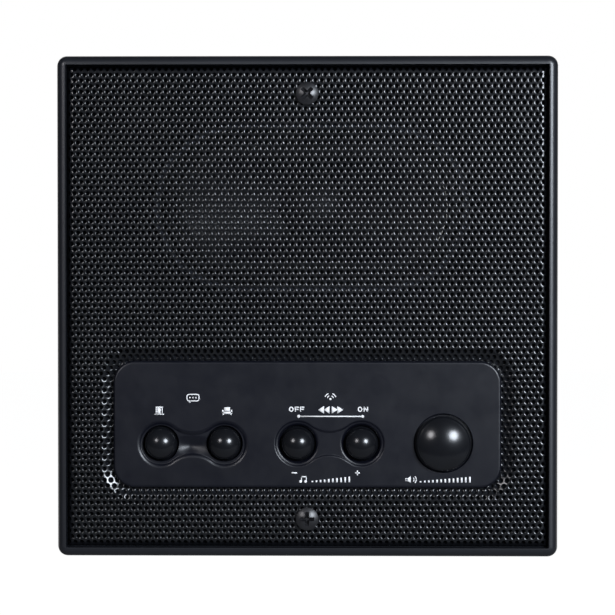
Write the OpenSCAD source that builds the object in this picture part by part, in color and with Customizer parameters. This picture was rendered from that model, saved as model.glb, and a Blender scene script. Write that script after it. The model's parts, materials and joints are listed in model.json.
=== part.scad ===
// Flush wall station with an oval loudspeaker, four push buttons and a volume knob.
// Millimetres. X is to the right, Z is up, the wall is the plane y = 0 and the front faces -Y.
// Depths are written as heights above the wall, and on_wall() turns them to face the front.

/* [Frame] */
// Side of the square frame
frame_side = 183; // [180:1:192]
// Height of the rim above the wall
frame_depth = 12.5; // [12:0.1:14]
// Width of the rim seen from the front
rim_w = 3.15; // [2.8:0.05:4]
// Corner radius of the rim's inner edge
rim_inner_r = 0.45; // [0.2:0.05:2]
// Radius of the rim's outer rounding
rim_round = 2.8; // [1:0.1:3]
// Thickness of the side walls
side_wall = 2.2; // [1.6:0.1:2.6]
// Height of the baffle's rear face above the wall
baffle_height = 5.4; // [5:0.1:6]
// Thickness of the baffle
baffle_t = 2.4; // [2:0.1:3]
// Width of the channel for the wall gasket
gasket_w = 3.2; // [2:0.1:4]
// Thickness of the rib that closes the gasket channel
gasket_rib = 1.6; // [1:0.1:2.5]
// Thickness of the stiffening ribs
rib_t = 1.8; // [1.2:0.1:2.5]
// Height of the stiffening ribs behind the baffle
rib_h = 3.6; // [2:0.1:4]

/* [Grille] */
// Thickness of the sheet
sheet_t = 0.8; // [0.5:0.05:1]
// Depth of the pan that is formed round the control panel
pan_depth = 1.6; // [1.2:0.1:2]
// Width of the sloping side of the pan
pan_slope_w = 3.6; // [2:0.1:4.5]
// Flat strip of the pan that shows round the control panel
pan_border = 0.6; // [0.4:0.1:1.2]
// Flat strip of the pan under the control panel
pan_lap = 2.5; // [2:0.1:3]
// Gap between the sheet and the rim
sheet_gap = 0.35; // [0.2:0.05:0.6]

/* [Control panel] */
// Width of the control panel
panel_w = 142.1; // [140:0.1:146]
// Height of the control panel
panel_h = 46.5; // [45:0.1:50]
// Corner radius of the control panel
panel_corner_r = 8; // [7:0.1:9]
// Rounding of the front edge
panel_edge_r = 1.0; // [0.5:0.1:1.4]
// Thickness of the control panel
panel_t = 2.6; // [2.4:0.1:3.2]
// Distance of its lower edge from the lower edge of the frame
panel_foot = 25.05; // [23.5:0.05:25.7]
// Distance of its fixing bosses from the side edges
boss_inset = 6.6; // [6.3:0.1:7.2]
// Diameter of a fixing boss
boss_d = 5; // [4.4:0.1:5.2]
// Thickness that is left under the finger recesses and the knob's well
panel_floor = 1.0; // [0.8:0.1:1.3]

/* [Buttons] */
// Diameter of a button
button_d = 12.6; // [11.6:0.1:13]
// Height of a button above the face of the panel
button_rise = 4.4; // [3.4:0.1:5]
// Radius of curvature of the dome
button_dome_r = 7.1; // [6.9:0.1:9]
// Distance that a button travels
button_travel = 1.0; // [0.5:0.1:1]
// Gap round a button
button_gap = 0.3; // [0.25:0.05:0.4]
// Width of the flange that keeps a button behind the panel
button_flange = 1.3; // [1:0.1:1.5]
// Thickness of that flange
button_flange_t = 1.0; // [0.8:0.1:1.2]
// Wall of the hollow button
button_wall = 1.2; // [1:0.1:1.6]
// Thickness of the crown of the button above its hollow
button_crown_t = 3.2; // [2.6:0.1:3.6]
// Diameter of the stem that presses the switch
stem_d = 4; // [3.4:0.1:5]
// Distance between the two buttons of a pair
button_pitch = 23.35; // [21:0.05:24]
// Distance of the buttons below the centre of the panel
button_low = 7; // [6.8:0.1:8.3]
// Distance of the talk pair's centre from the left edge of the panel
talk_inset = 29.1; // [28.1:0.05:30.1]
// Centre of the music volume pair
music_x = 8.2; // [7:0.1:9]
// Radius of a recess round a button
lobe_r = 8.6; // [8:0.1:9.2]
// Half width of a recess between its two buttons
waist_half = 4.4; // [3.6:0.1:5]
// Radius of the round dishes of the music volume pair
dish_r = 7.8; // [7.3:0.1:7.9]
// Depth of the bridge between those dishes
bridge_depth = 0.6; // [0.3:0.1:1]

/* [Volume knob] */
// Distance of the knob's centre from the right edge of the panel
knob_inset = 21.25; // [20:0.05:22]
// Distance of the knob below the centre of the panel
knob_low = 6.8; // [6.3:0.1:8.3]
// Diameter of the knob
knob_d = 20; // [18.6:0.1:20.4]
// Height of the knob above the face of the panel
knob_rise = 6.2; // [6:0.1:8]
// Radius of curvature of the dome
knob_dome_r = 18; // [14:0.5:30]
// Gap round the knob in its well
knob_gap = 0.7; // [0.4:0.05:0.9]
// Gap under the knob
knob_float = 0.3; // [0.25:0.05:0.5]
// Wall of the knob
knob_wall = 1.5; // [1.2:0.1:2]
// Diameter of the control shaft
shaft_d = 6; // [5:0.1:6.2]
// Depth of the flat on the shaft
shaft_flat = 1.2; // [0.6:0.1:1.5]
// Running clearance between shaft and bushing
shaft_fit = 0.06; // [0.03:0.01:0.09]
// Length that the shaft enters the knob
shaft_grip = 3.4; // [2.6:0.1:3.4]
// Outer diameter of the threaded bushing
bushing_d = 7.6; // [7.4:0.1:8.2]
// Clearance of the bushing in the panel
bushing_gap = 0.15; // [0.1:0.05:0.3]
// Side of the control body
control_side = 12.5; // [12:0.1:13]
// Width of the nut across its flats
nut_af = 11; // [10:0.1:12]
// Thickness of the nut
nut_t = 1.6; // [1.2:0.1:1.8]
// Outer diameter of the washer
washer_d = 12.4; // [11:0.1:13]
// Thickness of the washer
washer_t = 0.4; // [0.3:0.05:0.5]

/* [Circuit board] */
// Distance of the board's ends from the side edges of the panel
board_inset = 11.05; // [10.5:0.05:12]
// Height of the board
board_h = 40; // [39:0.5:42]
// Thickness of the board
board_t = 1.6; // [1.2:0.1:2]
// Distance between the baffle and the board
board_gap = 4.4; // [4.2:0.1:4.9]
// Diameter of a post that carries the board
post_d = 6; // [5:0.1:6.4]
// Distance of the posts from the edges of the board
post_inset = 3.6; // [3.4:0.1:4]
// Side of a switch body
switch_side = 8; // [7:0.1:9]
// Height of a switch body
switch_h = 3.8; // [3.4:0.1:3.9]
// Diameter of a switch plunger
plunger_d = 3.2; // [2.6:0.1:3.6]
// Gap round a plunger and under it
plunger_gap = 0.3; // [0.25:0.05:0.4]
// Length of a plunger that stays in the switch
plunger_hold = 1.6; // [1.2:0.1:1.8]
// Number of ways of the terminal block
terminal_ways = 6; // [3:1:6]
// Distance between two ways
terminal_pitch = 5.08; // [4.8:0.01:5.5]
// Depth of the terminal block from the board
terminal_depth = 10; // [8:0.1:12]
// Height of the terminal block along the board
terminal_h = 8.6; // [8:0.1:10]
// Diameter of a terminal screw
terminal_screw_d = 3; // [2.6:0.1:3.2]
// Diameter of a capacitor
cap_d = 8; // [6:0.1:9]
// Length of a capacitor
cap_l = 11; // [8:0.5:13]
// Distance between two capacitors
cap_pitch = 10.5; // [10:0.1:11.5]
// Length of the amplifier chip
chip_l = 9.8; // [9:0.1:10.6]
// Width of the amplifier chip
chip_w = 6.4; // [6:0.1:7]
// Width of the speaker socket
socket_w = 8; // [7.6:0.1:9]
// Depth of the speaker socket from the board
socket_depth = 6; // [5:0.1:7]

/* [Loudspeaker] */
// Centre of the loudspeaker from the middle of the frame
speaker_x = 1.6; // [0:0.1:2]
// Distance of the loudspeaker's centre from the upper edge of the frame
speaker_inset = 55.4; // [54.7:0.1:55.7]
// Width of the opening in the baffle
mouth_w = 111.4; // [109:0.1:113]
// Height of the opening in the baffle
mouth_h = 56.8; // [55:0.1:57.4]
// Width of the loudspeaker's flange
flange_w = 124; // [123:0.1:126]
// Height of the loudspeaker's flange
flange_h = 73; // [71:0.1:73.4]
// Corner radius of the flange
flange_r = 22; // [18:0.5:24]
// Thickness of the pressed steel basket
basket_t = 1.2; // [0.8:0.1:1.5]
// Thickness of the speaker gasket
seal_t = 1.5; // [1.2:0.1:2]
// Width of the land that the surround is glued to
land_w = 3.2; // [2.6:0.1:3.4]
// Thickness of the surround
surround_t = 0.4; // [0.3:0.05:0.6]
// Radius of the half roll of the surround
roll_r = 2.5; // [2:0.1:2.6]
// Width of the glued lip of the cone
lip_w = 2; // [1.5:0.1:2.5]
// Thickness of the cone
cone_t = 0.6; // [0.5:0.05:0.9]
// Depth of the cone
cone_depth = 15; // [13:0.1:16]
// Distance that the cone travels each way
cone_travel = 0.8; // [0.4:0.1:0.9]
// Outer radius of the voice coil former
former_r = 10.2; // [9.8:0.1:10.6]
// Wall of the voice coil former
former_t = 0.4; // [0.3:0.05:0.5]
// Thickness of the winding
winding_t = 0.4; // [0.3:0.05:0.5]
// Gap on each side of the coil in the magnet
coil_gap = 0.4; // [0.35:0.05:0.6]
// Radius of the dust cap
dome_r = 11.8; // [11.2:0.1:12]
// Height of the dust cap
dome_rise = 4.2; // [3:0.1:5]
// Thickness of the dust cap
dome_t = 0.5; // [0.4:0.05:0.8]
// Radius of the basket's floor
cup_r = 25; // [24:0.1:27]
// Width of the damper's seat
seat_w = 3.6; // [3:0.1:4.2]
// Height of the damper's seat
seat_h = 1.5; // [1.2:0.1:1.8]
// Thickness of the damper
damper_t = 0.4; // [0.3:0.05:0.6]
// Height of the corrugations of the damper
damper_wave = 0.6; // [0.4:0.05:0.7]
// Thickness of the top plate
top_plate_t = 4; // [3:0.1:5]
// Radius of the magnet
magnet_r = 27.5; // [26:0.5:30]
// Thickness of the magnet
magnet_t = 10; // [8:0.5:13]
// Inner radius of the magnet
magnet_bore_r = 14; // [13:0.1:16]
// Thickness of the back plate
back_plate_t = 3.5; // [3:0.1:5]
// Radius of the top and back plates
plate_r = 24.5; // [23:0.1:25.5]
// Diameter of a speaker lead
lead_d = 1.6; // [1.2:0.1:1.8]

/* [Fixings] */
// Distance of a mounting screw from the edge of the frame
screw_inset = 13.7; // [12.5:0.05:14]
// Diameter of a mounting screw
screw_d = 4.16; // [3.5:0.01:4.4]
// Head diameter of a mounting screw
screw_head_d = 8.2; // [7:0.1:9]
// Head height of a mounting screw
screw_head_h = 2.6; // [2.2:0.1:3.2]
// Length of a mounting screw under its head
screw_l = 31.75; // [25:0.25:38]
// Diameter of its plain shank in front of the wall plane
screw_shank_d = 3.65; // [3.2:0.05:3.9]
// Width of the cross recess
recess_l = 4.6; // [3.6:0.1:5]
// Clearance round a mounting screw
screw_gap = 0.25; // [0.15:0.05:0.4]
// Wall of the sleeve round a mounting screw
sleeve_wall = 1.6; // [1.2:0.1:1.6]
// Diameter of the small screws
small_screw_d = 2.5; // [2:0.1:2.6]
// Head diameter of the small screws
small_head_d = 4.6; // [4:0.1:5]
// Head height of the small screws
small_head_h = 1.8; // [1.4:0.1:2.2]
// Diameter of the washer faces on the panel's screws
washer_face_d = 7.4; // [7.2:0.1:8]
// Wall of a boss round a pilot hole
pilot_wall = 2.0; // [1.6:0.1:2.4]
// Plastic that is left beyond a blind pilot hole
blind_t = 1.2; // [0.8:0.1:1.4]
// Clearance of small bosses and screws in their holes
hole_gap = 0.3; // [0.2:0.05:0.4]

/* [Hidden] */
$fn = 96;

// Overshoot of a cut past the face that it opens, and depth by which joined shapes enter each other
cut = 1;
join = 0.2;

// Heights above the wall, from the back to the front
baffle_front = baffle_height + baffle_t;
pan_face = baffle_front + sheet_t;
sheet_back = baffle_front + pan_depth;
sheet_face = sheet_back + sheet_t;
panel_face = pan_face + panel_t;
recess_floor = pan_face + panel_floor;

// The frame
frame_corner_r = rim_inner_r + rim_w;
tray_side = frame_side - 2 * side_wall;
tray_corner_r = frame_corner_r - side_wall;
channel_side = tray_side - 2 * gasket_w;
screw_spacing = frame_side - 2 * screw_inset;
panel_drop = frame_side / 2 - panel_foot - panel_h / 2;
talk_x = talk_inset - panel_w / 2;
knob_x = panel_w / 2 - knob_inset;
speaker_rise = frame_side / 2 - speaker_inset;
rib_y = (speaker_rise - flange_h / 2 - panel_drop + board_h / 2) / 2;
sleeve_reach = (channel_side - gasket_rib - screw_spacing) / 2;

// The sheet and its pan
sheet_side = frame_side - 2 * (rim_w + sheet_gap);
sheet_inner_bend_r = 0.4;
sheet_bend_r = sheet_t + sheet_inner_bend_r;
sheet_corner_spare = 0.4;
sheet_corner_r = sheet_bend_r + sheet_corner_spare;
pan_top_w = panel_w + 2 * (pan_border + pan_slope_w);
pan_top_h = panel_h + 2 * (pan_border + pan_slope_w);
pan_top_r = panel_corner_r + pan_border + pan_slope_w;

// Buttons, from left to right
button_drop = panel_drop + button_low;
door_x = talk_x - button_pitch / 2;
room_x = talk_x + button_pitch / 2;
volume_down_x = music_x - button_pitch / 2;
volume_up_x = music_x + button_pitch / 2;
button_xs = [door_x, room_x, volume_down_x, volume_up_x];
button_r = button_d / 2;
button_hole_r = button_r + button_gap;
flange_out_r = button_hole_r + button_flange;
button_top = panel_face + button_rise;
button_hollow_top = button_top - button_crown_t;
dish_foot = 0.4;
flange_top = pan_face - button_gap;
flange_bottom = flange_top - button_flange_t;
baffle_hole_r = flange_out_r + 2 * hole_gap;

// Circuit board and what it carries
board_front = baffle_height - board_gap;
board_back = board_front - board_t;
board_w = panel_w - 2 * board_inset;
switch_top = board_front + switch_h;
plunger_top = switch_top + button_travel + plunger_gap;
plunger_bottom = switch_top - plunger_hold;
post_top_x = board_w / 2 - post_inset;
post_y = board_h / 2 - post_inset;
// The lower posts stand between the round holes of the baffle
board_posts = [
    [-post_top_x, post_y], [post_top_x, post_y],
    [talk_x, -post_y], [(volume_up_x + knob_x) / 2, -post_y]
];
terminal_end_wall = 0.5;
terminal_w = terminal_ways * terminal_pitch + 2 * terminal_end_wall;
terminal_x = -34;
terminal_y = 3;
terminal_well_gap = 0.3;
terminal_well_d = terminal_screw_d + 2 * terminal_well_gap;
terminal_seat = board_back - terminal_depth * 0.55;
terminal_screw_l = 3.4;
terminal_slot_w = 0.6;
terminal_slot_depth = 0.6;
terminal_entry_h = 3.2;
terminal_entry_l = 5;
terminal_entry_w = terminal_pitch - 1.6;
cap_x = 2;
cap_y = 9;
chip_x = 14;
chip_y = -8;
chip_t = 3.4;
chip_lift = 0.5;
chip_leg_t = 0.3;
chip_leg_w = 1;
chip_notch_r = 0.8;
chip_pin_pitch = 2.54;
socket_x = 48;
socket_y = 6;
socket_h = 6;
socket_wall = 1;
socket_floor = 1;
plug_fit = 0.1;
plug_pitch = 2.5;
plug_inset = socket_wall + plug_fit;
plug_tail = 3;
plug_back = board_back - socket_depth - plug_tail;

// The knob and its control
knob_drop = panel_drop + knob_low;
knob_r = knob_d / 2;
well_r = knob_r + knob_gap;
knob_top = panel_face + knob_rise;
knob_bottom = recess_floor + knob_float;
washer_top = recess_floor + washer_t;
nut_top = washer_top + nut_t;
bushing_spare = 0.2;
bushing_top = nut_top + bushing_spare;
hub_bottom = bushing_top + knob_float;
shaft_top = hub_bottom + shaft_grip;
shaft_depth_left = 3;
shaft_bottom = board_front + shaft_depth_left;
hub_r = shaft_d / 2 + knob_wall;
hub_stand = 1.4;
knob_hollow_top = hub_bottom + hub_stand;
control_hole_r = control_side / sqrt(2) + hole_gap;

// The loudspeaker, as distances from its centre line and heights above the wall
mouth_r = mouth_h / 2;
mouth_half = (mouth_w - mouth_h) / 2;
speaker_face = baffle_height - seal_t;
flange_back = speaker_face - basket_t;
mouth_lap = 1;
basket_in = mouth_r - mouth_lap;
land_out = basket_in + land_w;
roll_mid = basket_in - roll_r;
lip_out = roll_mid - roll_r;
cone_edge = lip_out - lip_w;
cone_front = speaker_face;
cone_back = cone_front - cone_depth;
cone_spare = 1.9;
cup_floor = cone_back - cone_travel - cone_spare;
plate_front = cup_floor - basket_t;
plate_back = plate_front - top_plate_t;
magnet_back = plate_back - magnet_t;
speaker_back = magnet_back - back_plate_t;
pole_r = former_r - former_t - coil_gap;
gap_r = former_r + winding_t + coil_gap;
seat_r = cup_r - seat_w;
damper_back = cup_floor + seat_h;
former_rise = 3.4;
former_front = cone_back + former_rise;
former_spare = 0.7;
former_back = plate_back - cone_travel - former_spare;
winding_spare = 0.1;
winding_over = cone_travel + winding_spare;
winding_margin = 0.5;
floor_hole_r = gap_r + 2;
speaker_hole_inset_x = 12;
speaker_hole_inset_y = 7.5;
speaker_hole_x = flange_w / 2 - speaker_hole_inset_x;
speaker_hole_y = flange_h / 2 - speaker_hole_inset_y;
window_margin = 2;
window_cut = 10;
speaker_holes = [for (sx = [-1, 1], sy = [-1, 1]) [sx * speaker_hole_x, sy * speaker_hole_y]];
tag_x = 37;
tag_w = 13;
tag_h = 6.4;
tag_margin = 1;
tag_y = -flange_h / 2 + tag_margin + tag_h / 2;
tag_pitch = 6;
tag_board_t = 1;
tag_l = 4;
tag_blade_w = 2.4;
tag_blade_t = 0.6;
tag_tip = flange_back - tag_board_t - tag_l;
lead_bow = 16;
lead_rings = 20;
lead_sides = 8;

// Fixings
sleeve_r = screw_d / 2 + screw_gap + sleeve_wall;
small_r = small_screw_d / 2;
panel_bosses = [for (sx = [-1, 1], sy = [-1, 1])
    [sx * (panel_w / 2 - boss_inset), sy * (panel_h / 2 - boss_inset)]];
boss_spare = 0.2;
boss_end = baffle_height + boss_spare;
screw_spare = 0.5;
small_recess_w = 0.7;
small_recess_depth = 1;
small_tip_r = 0.3;
washer_face_t = 0.6;
screw_tip_r = 0.4;
recess_w = 1.1;
screw_crown = 1.1;

// Turns a piece that is drawn on the floor so that its height faces the front of the wall
module on_wall() {
    rotate([90, 0, 0]) children();
}

// Places for what belongs to the panel, the loudspeaker and one button
module at_panel() {
    translate([0, -panel_drop, 0]) children();
}

module at_speaker() {
    translate([speaker_x, speaker_rise, 0]) children();
}

module at_button(x) {
    translate([x, -button_drop, 0]) children();
}

module at_knob() {
    translate([knob_x, -knob_drop, 0]) children();
}

// A straight disc between two heights
module disc(r, z1, z2) {
    translate([0, 0, z1]) cylinder(r = r, h = z2 - z1);
}

module ring(r_out, r_in, z1, z2) {
    difference() {
        disc(r_out, z1, z2);
        disc(r_in, z1 - cut, z2 + cut);
    }
}

// A slab of the outline that it is given, between two heights
module slab(z1, z2) {
    translate([0, 0, z1]) linear_extrude(z2 - z1) children();
}

// Rectangle with round corners
module round_rect(w, h, r) {
    square([w - 2 * r, h], center = true);
    square([w, h - 2 * r], center = true);
    for (sx = [-1, 1], sy = [-1, 1]) translate([sx * (w / 2 - r), sy * (h / 2 - r)]) circle(r = r);
}

// The same rectangle with its outline moved outwards by d
module offset_rect(w, h, r, d) {
    round_rect(w + 2 * d, h + 2 * d, r + d);
}

// Oval with straight sides and round ends
module oval(half, r) {
    square([2 * half, 2 * r], center = true);
    for (s = [-1, 1]) translate([s * half, 0]) circle(r = r);
}

// Outline of a pair's recess: two round lobes joined by a waist with hollow sides
module peanut(r, waist) {
    arc = (pow(button_pitch / 2, 2) + pow(waist, 2) - pow(r, 2)) / (2 * (r - waist));
    touch_x = button_pitch / 2 * arc / (r + arc);
    touch_y = (waist + arc) * r / (r + arc);
    difference() {
        square([2 * touch_x, 2 * touch_y], center = true);
        for (s = [-1, 1]) translate([0, s * (waist + arc)]) circle(r = arc);
    }
    for (s = [-1, 1]) translate([s * button_pitch / 2, 0]) circle(r = r);
}

// Carries a profile round a rectangle with round corners. x = 0 of the profile is the edge, + is outward
module round_edge(w, h, r) {
    for (k = [0:3]) rotate([0, 0, 90 * k]) {
        along = k % 2 == 0 ? w : h;
        across = k % 2 == 0 ? h : w;
        translate([-(along / 2 - r), across / 2, 0])
            rotate([90, 0, 90]) linear_extrude(along - 2 * r) children();
        translate([along / 2 - r, across / 2 - r, 0])
            rotate_extrude(angle = 90) translate([r, 0]) children();
    }
}

// Carries a profile round an oval. x = 0 of the profile is the centre line of the straight sides
module oval_edge(half) {
    for (k = [0, 1]) rotate([0, 0, 180 * k]) {
        translate([-half, 0, 0]) rotate([90, 0, 90]) linear_extrude(2 * half) children();
        translate([half, 0, 0]) rotate([0, 0, -90]) rotate_extrude(angle = 180) children();
    }
}

// Profile of the side wall and the rim, with its outer edge at x = 0
module rim_profile() {
    difference() {
        union() {
            translate([-side_wall, 0]) square([side_wall, baffle_front]);
            translate([-rim_w, baffle_height]) square([rim_w, frame_depth - baffle_height]);
        }
        translate([-rim_round, frame_depth - rim_round]) difference() {
            square(rim_round + cut);
            circle(r = rim_round);
        }
    }
}

// Moulded frame: rim, baffle behind the grille, gasket channel, sleeves, posts and ribs
module front_frame() {
    color([0.10, 0.10, 0.11]) on_wall() difference() {
        union() {
            round_edge(frame_side, frame_side, frame_corner_r) rim_profile();
            slab(baffle_height, baffle_front)
                round_rect(tray_side, tray_side, tray_corner_r);
            gasket_channel();
            frame_ribs();
            for (s = [-1, 1]) translate([0, s * screw_spacing / 2, 0]) disc(sleeve_r, 0, sheet_back);
            at_speaker() oval_edge(mouth_half)
                translate([mouth_r, baffle_front - join]) square([rib_t, pan_depth + join]);
            at_speaker() for (p = speaker_holes) translate(p)
                disc(small_r + pilot_wall, speaker_face, baffle_height + join);
            at_panel() for (p = board_posts) translate(p)
                disc(post_d / 2, board_front, baffle_height + join);
        }
        at_speaker() slab(baffle_height - cut, baffle_front + cut) oval(mouth_half, mouth_r);
        at_speaker() for (p = speaker_holes) translate(p)
            disc(small_r, speaker_face - cut, baffle_front - blind_t);
        at_panel() for (p = board_posts) translate(p)
            disc(small_r, board_front - cut, baffle_front - blind_t);
        at_panel() for (p = panel_bosses) translate(p)
            disc(boss_d / 2 + hole_gap, baffle_height - cut, baffle_front + cut);
        for (x = button_xs) at_button(x) disc(baffle_hole_r, baffle_height - cut, baffle_front + cut);
        at_knob() disc(control_hole_r, baffle_height - cut, baffle_front + cut);
        for (s = [-1, 1]) translate([0, s * screw_spacing / 2, 0])
            disc(screw_d / 2 + screw_gap, -cut, sheet_back + cut);
    }
}

// Inner wall of the channel that holds the wall gasket
module gasket_channel() {
    slab(0, baffle_height + join) difference() {
        square(channel_side, center = true);
        square(channel_side - 2 * gasket_rib, center = true);
    }
}

// Ribs behind the baffle: one across it, and one from each sleeve to the channel
module frame_ribs() {
    slab(baffle_height - rib_h, baffle_height + join) {
        translate([0, rib_y]) square([channel_side - gasket_rib, rib_t], center = true);
        for (s = [-1, 1]) translate([0, s * (screw_spacing / 2 + sleeve_reach / 2)])
            square([rib_t, sleeve_reach], center = true);
    }
}

module wall_gasket() {
    color([0.16, 0.16, 0.17]) on_wall() slab(0, baffle_height) difference() {
        round_rect(tray_side, tray_side, tray_corner_r);
        square(channel_side, center = true);
    }
}

// Sheet steel grille with turned edges and a shallow pan round the control panel
module speaker_grille() {
    flat_side = sheet_side - 2 * sheet_bend_r;
    color([0.13, 0.13, 0.14]) on_wall() difference() {
        union() {
            slab(sheet_back, sheet_face) difference() {
                round_rect(flat_side, flat_side, sheet_corner_r - sheet_bend_r);
                translate([0, -panel_drop]) round_rect(pan_top_w, pan_top_h, pan_top_r);
            }
            round_edge(sheet_side, sheet_side, sheet_corner_r) turned_edge_profile();
            at_panel() round_edge(panel_w, panel_h, panel_corner_r) pan_profile();
        }
        for (s = [-1, 1]) translate([0, s * screw_spacing / 2, 0])
            disc(screw_d / 2 + screw_gap, sheet_back - cut, sheet_face + cut);
    }
}

// Profile of the sheet's turned edge, with its outer face at x = 0
module turned_edge_profile() {
    translate([-sheet_t, baffle_front]) square([sheet_t, sheet_face - sheet_bend_r - baffle_front]);
    translate([-sheet_bend_r, sheet_face - sheet_bend_r]) difference() {
        intersection() {
            circle(r = sheet_bend_r);
            square(sheet_bend_r);
        }
        circle(r = sheet_bend_r - sheet_t);
    }
}

// Profile of the pan, with the edge of the control panel at x = 0
module pan_profile() {
    slope_end = pan_border + pan_slope_w;
    polygon([
        [-pan_lap, baffle_front], [pan_border, baffle_front], [slope_end, sheet_back],
        [slope_end, sheet_face], [pan_border, pan_face], [-pan_lap, pan_face]
    ]);
}

// Moulded panel with its rounded edge, finger recesses, knob well and fixing bosses
module control_panel() {
    edge_start = panel_face - panel_edge_r;
    color([0.14, 0.14, 0.16]) on_wall() difference() {
        union() {
            at_panel() {
                slab(pan_face, edge_start) round_rect(panel_w, panel_h, panel_corner_r);
                slab(edge_start, panel_face) offset_rect(panel_w, panel_h, panel_corner_r, -panel_edge_r);
                round_edge(panel_w, panel_h, panel_corner_r) panel_edge_profile();
                for (p = panel_bosses) translate(p) disc(boss_d / 2, boss_end, pan_face + join);
            }
        }
        at_button(talk_x) slab(recess_floor, panel_face + cut) peanut(lobe_r, waist_half);
        at_button(music_x) slab(panel_face - bridge_depth, panel_face + cut) peanut(lobe_r, waist_half);
        for (x = [volume_down_x, volume_up_x]) at_button(x) translate([0, 0, recess_floor])
            cylinder(r1 = button_hole_r + dish_foot, r2 = dish_r, h = panel_face - recess_floor);
        for (x = button_xs) at_button(x) disc(button_hole_r, pan_face - cut, panel_face + cut);
        at_knob() disc(well_r, recess_floor, panel_face + cut);
        at_knob() disc(bushing_d / 2 + bushing_gap, pan_face - cut, panel_face + cut);
        at_panel() for (p = panel_bosses) translate(p) disc(small_r, boss_end - cut, panel_face - blind_t);
    }
}

// Quarter round along the front edge of the panel
module panel_edge_profile() {
    translate([-panel_edge_r, panel_face - panel_edge_r]) intersection() {
        circle(r = panel_edge_r);
        square(panel_edge_r + cut);
    }
}

// Cross recess that is cut down into a screw head from the height z
module cross_cut(size, w, depth, z) {
    translate([0, 0, z - depth]) linear_extrude(depth + cut) {
        square([size, w], center = true);
        square([w, size], center = true);
    }
}

// Small screw that points to the front: the face under its head is at z1 and its point at z2
module small_screw(z1, z2) {
    difference() {
        disc(small_head_d / 2, z1 - small_head_h, z1);
        rotate([180, 0, 0])
            cross_cut(small_head_d * 0.6, small_recess_w, small_recess_depth, small_head_h - z1);
    }
    disc(small_r, z1 - join, z2 - small_r);
    translate([0, 0, z2 - small_r]) cylinder(r1 = small_r, r2 = small_tip_r, h = small_r);
}

module panel_screws() {
    color([0.55, 0.56, 0.58]) on_wall() at_panel() for (p = panel_bosses) translate(p) {
        small_screw(baffle_height, panel_face - blind_t - screw_spare);
        ring(washer_face_d / 2, small_head_d / 2 - join, baffle_height - washer_face_t, baffle_height);
    }
}

// Hollow domed button with a retaining flange and a stem that meets the plunger
module button(x) {
    color([0.09, 0.09, 0.10]) on_wall() at_button(x) {
        difference() {
            union() {
                intersection() {
                    disc(button_r, flange_bottom, button_top);
                    translate([0, 0, button_top - button_dome_r]) sphere(r = button_dome_r);
                }
                disc(flange_out_r, flange_bottom, flange_top);
            }
            disc(button_r - button_wall, flange_bottom - cut, button_hollow_top);
        }
        disc(stem_d / 2, plunger_top, button_hollow_top + join);
    }
}

module door_button() { button(door_x); }
module room_button() { button(room_x); }
module volume_down_button() { button(volume_down_x); }
module volume_up_button() { button(volume_up_x); }

module switch_body(x) {
    color([0.18, 0.18, 0.19]) on_wall() at_button(x) difference() {
        slab(board_front, switch_top) square(switch_side, center = true);
        disc(plunger_d / 2 + plunger_gap, plunger_bottom - button_travel - plunger_gap, switch_top + cut);
    }
}

module door_switch() { switch_body(door_x); }
module room_switch() { switch_body(room_x); }
module volume_down_switch() { switch_body(volume_down_x); }
module volume_up_switch() { switch_body(volume_up_x); }

module plunger(x) {
    color([0.85, 0.85, 0.82]) on_wall() at_button(x) disc(plunger_d / 2, plunger_bottom, plunger_top);
}

module door_plunger() { plunger(door_x); }
module room_plunger() { plunger(room_x); }
module volume_down_plunger() { plunger(volume_down_x); }
module volume_up_plunger() { plunger(volume_up_x); }

// Outline of the shaft with its flat
module shaft_outline() {
    difference() {
        circle(d = shaft_d);
        translate([-shaft_d / 2, shaft_d / 2 - shaft_flat]) square([shaft_d, shaft_d]);
    }
}

// Domed knob, hollow underneath, with a hub that fits the flatted shaft
module volume_knob() {
    color([0.09, 0.09, 0.10]) on_wall() at_knob() difference() {
        union() {
            difference() {
                intersection() {
                    disc(knob_r, knob_bottom, knob_top);
                    translate([0, 0, knob_top - knob_dome_r]) sphere(r = knob_dome_r);
                }
                disc(knob_r - knob_wall, knob_bottom - cut, knob_hollow_top);
            }
            disc(hub_r, hub_bottom, knob_hollow_top + join);
        }
        slab(hub_bottom - cut, shaft_top) shaft_outline();
    }
}

module control_shaft() {
    color([0.78, 0.79, 0.80]) on_wall() at_knob() {
        disc(shaft_d / 2, shaft_bottom, hub_bottom);
        slab(hub_bottom, shaft_top) shaft_outline();
    }
}

module control_body() {
    color([0.45, 0.46, 0.48]) on_wall() at_knob() difference() {
        union() {
            slab(board_front, pan_face) square(control_side, center = true);
            disc(bushing_d / 2, pan_face - join, bushing_top);
        }
        disc(shaft_d / 2 + shaft_fit, shaft_bottom - knob_float, bushing_top + cut);
    }
}

module control_washer() {
    color([0.7, 0.7, 0.72]) on_wall() at_knob()
        ring(washer_d / 2, bushing_d / 2 + bushing_gap, recess_floor, washer_top);
}

module control_nut() {
    color([0.7, 0.65, 0.5]) on_wall() at_knob() difference() {
        translate([0, 0, washer_top]) cylinder(d = nut_af / cos(30), h = nut_t, $fn = 6);
        disc(bushing_d / 2, washer_top - cut, nut_top + cut);
    }
}

module circuit_board() {
    color([0.10, 0.35, 0.18]) on_wall() at_panel() slab(board_back, board_front) difference() {
        square([board_w, board_h], center = true);
        for (p = board_posts) translate(p) circle(r = small_r + hole_gap);
    }
}

module board_screws() {
    color([0.55, 0.56, 0.58]) on_wall() at_panel() for (p = board_posts) translate(p)
        small_screw(board_back, baffle_front - blind_t - screw_spare);
}

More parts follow.
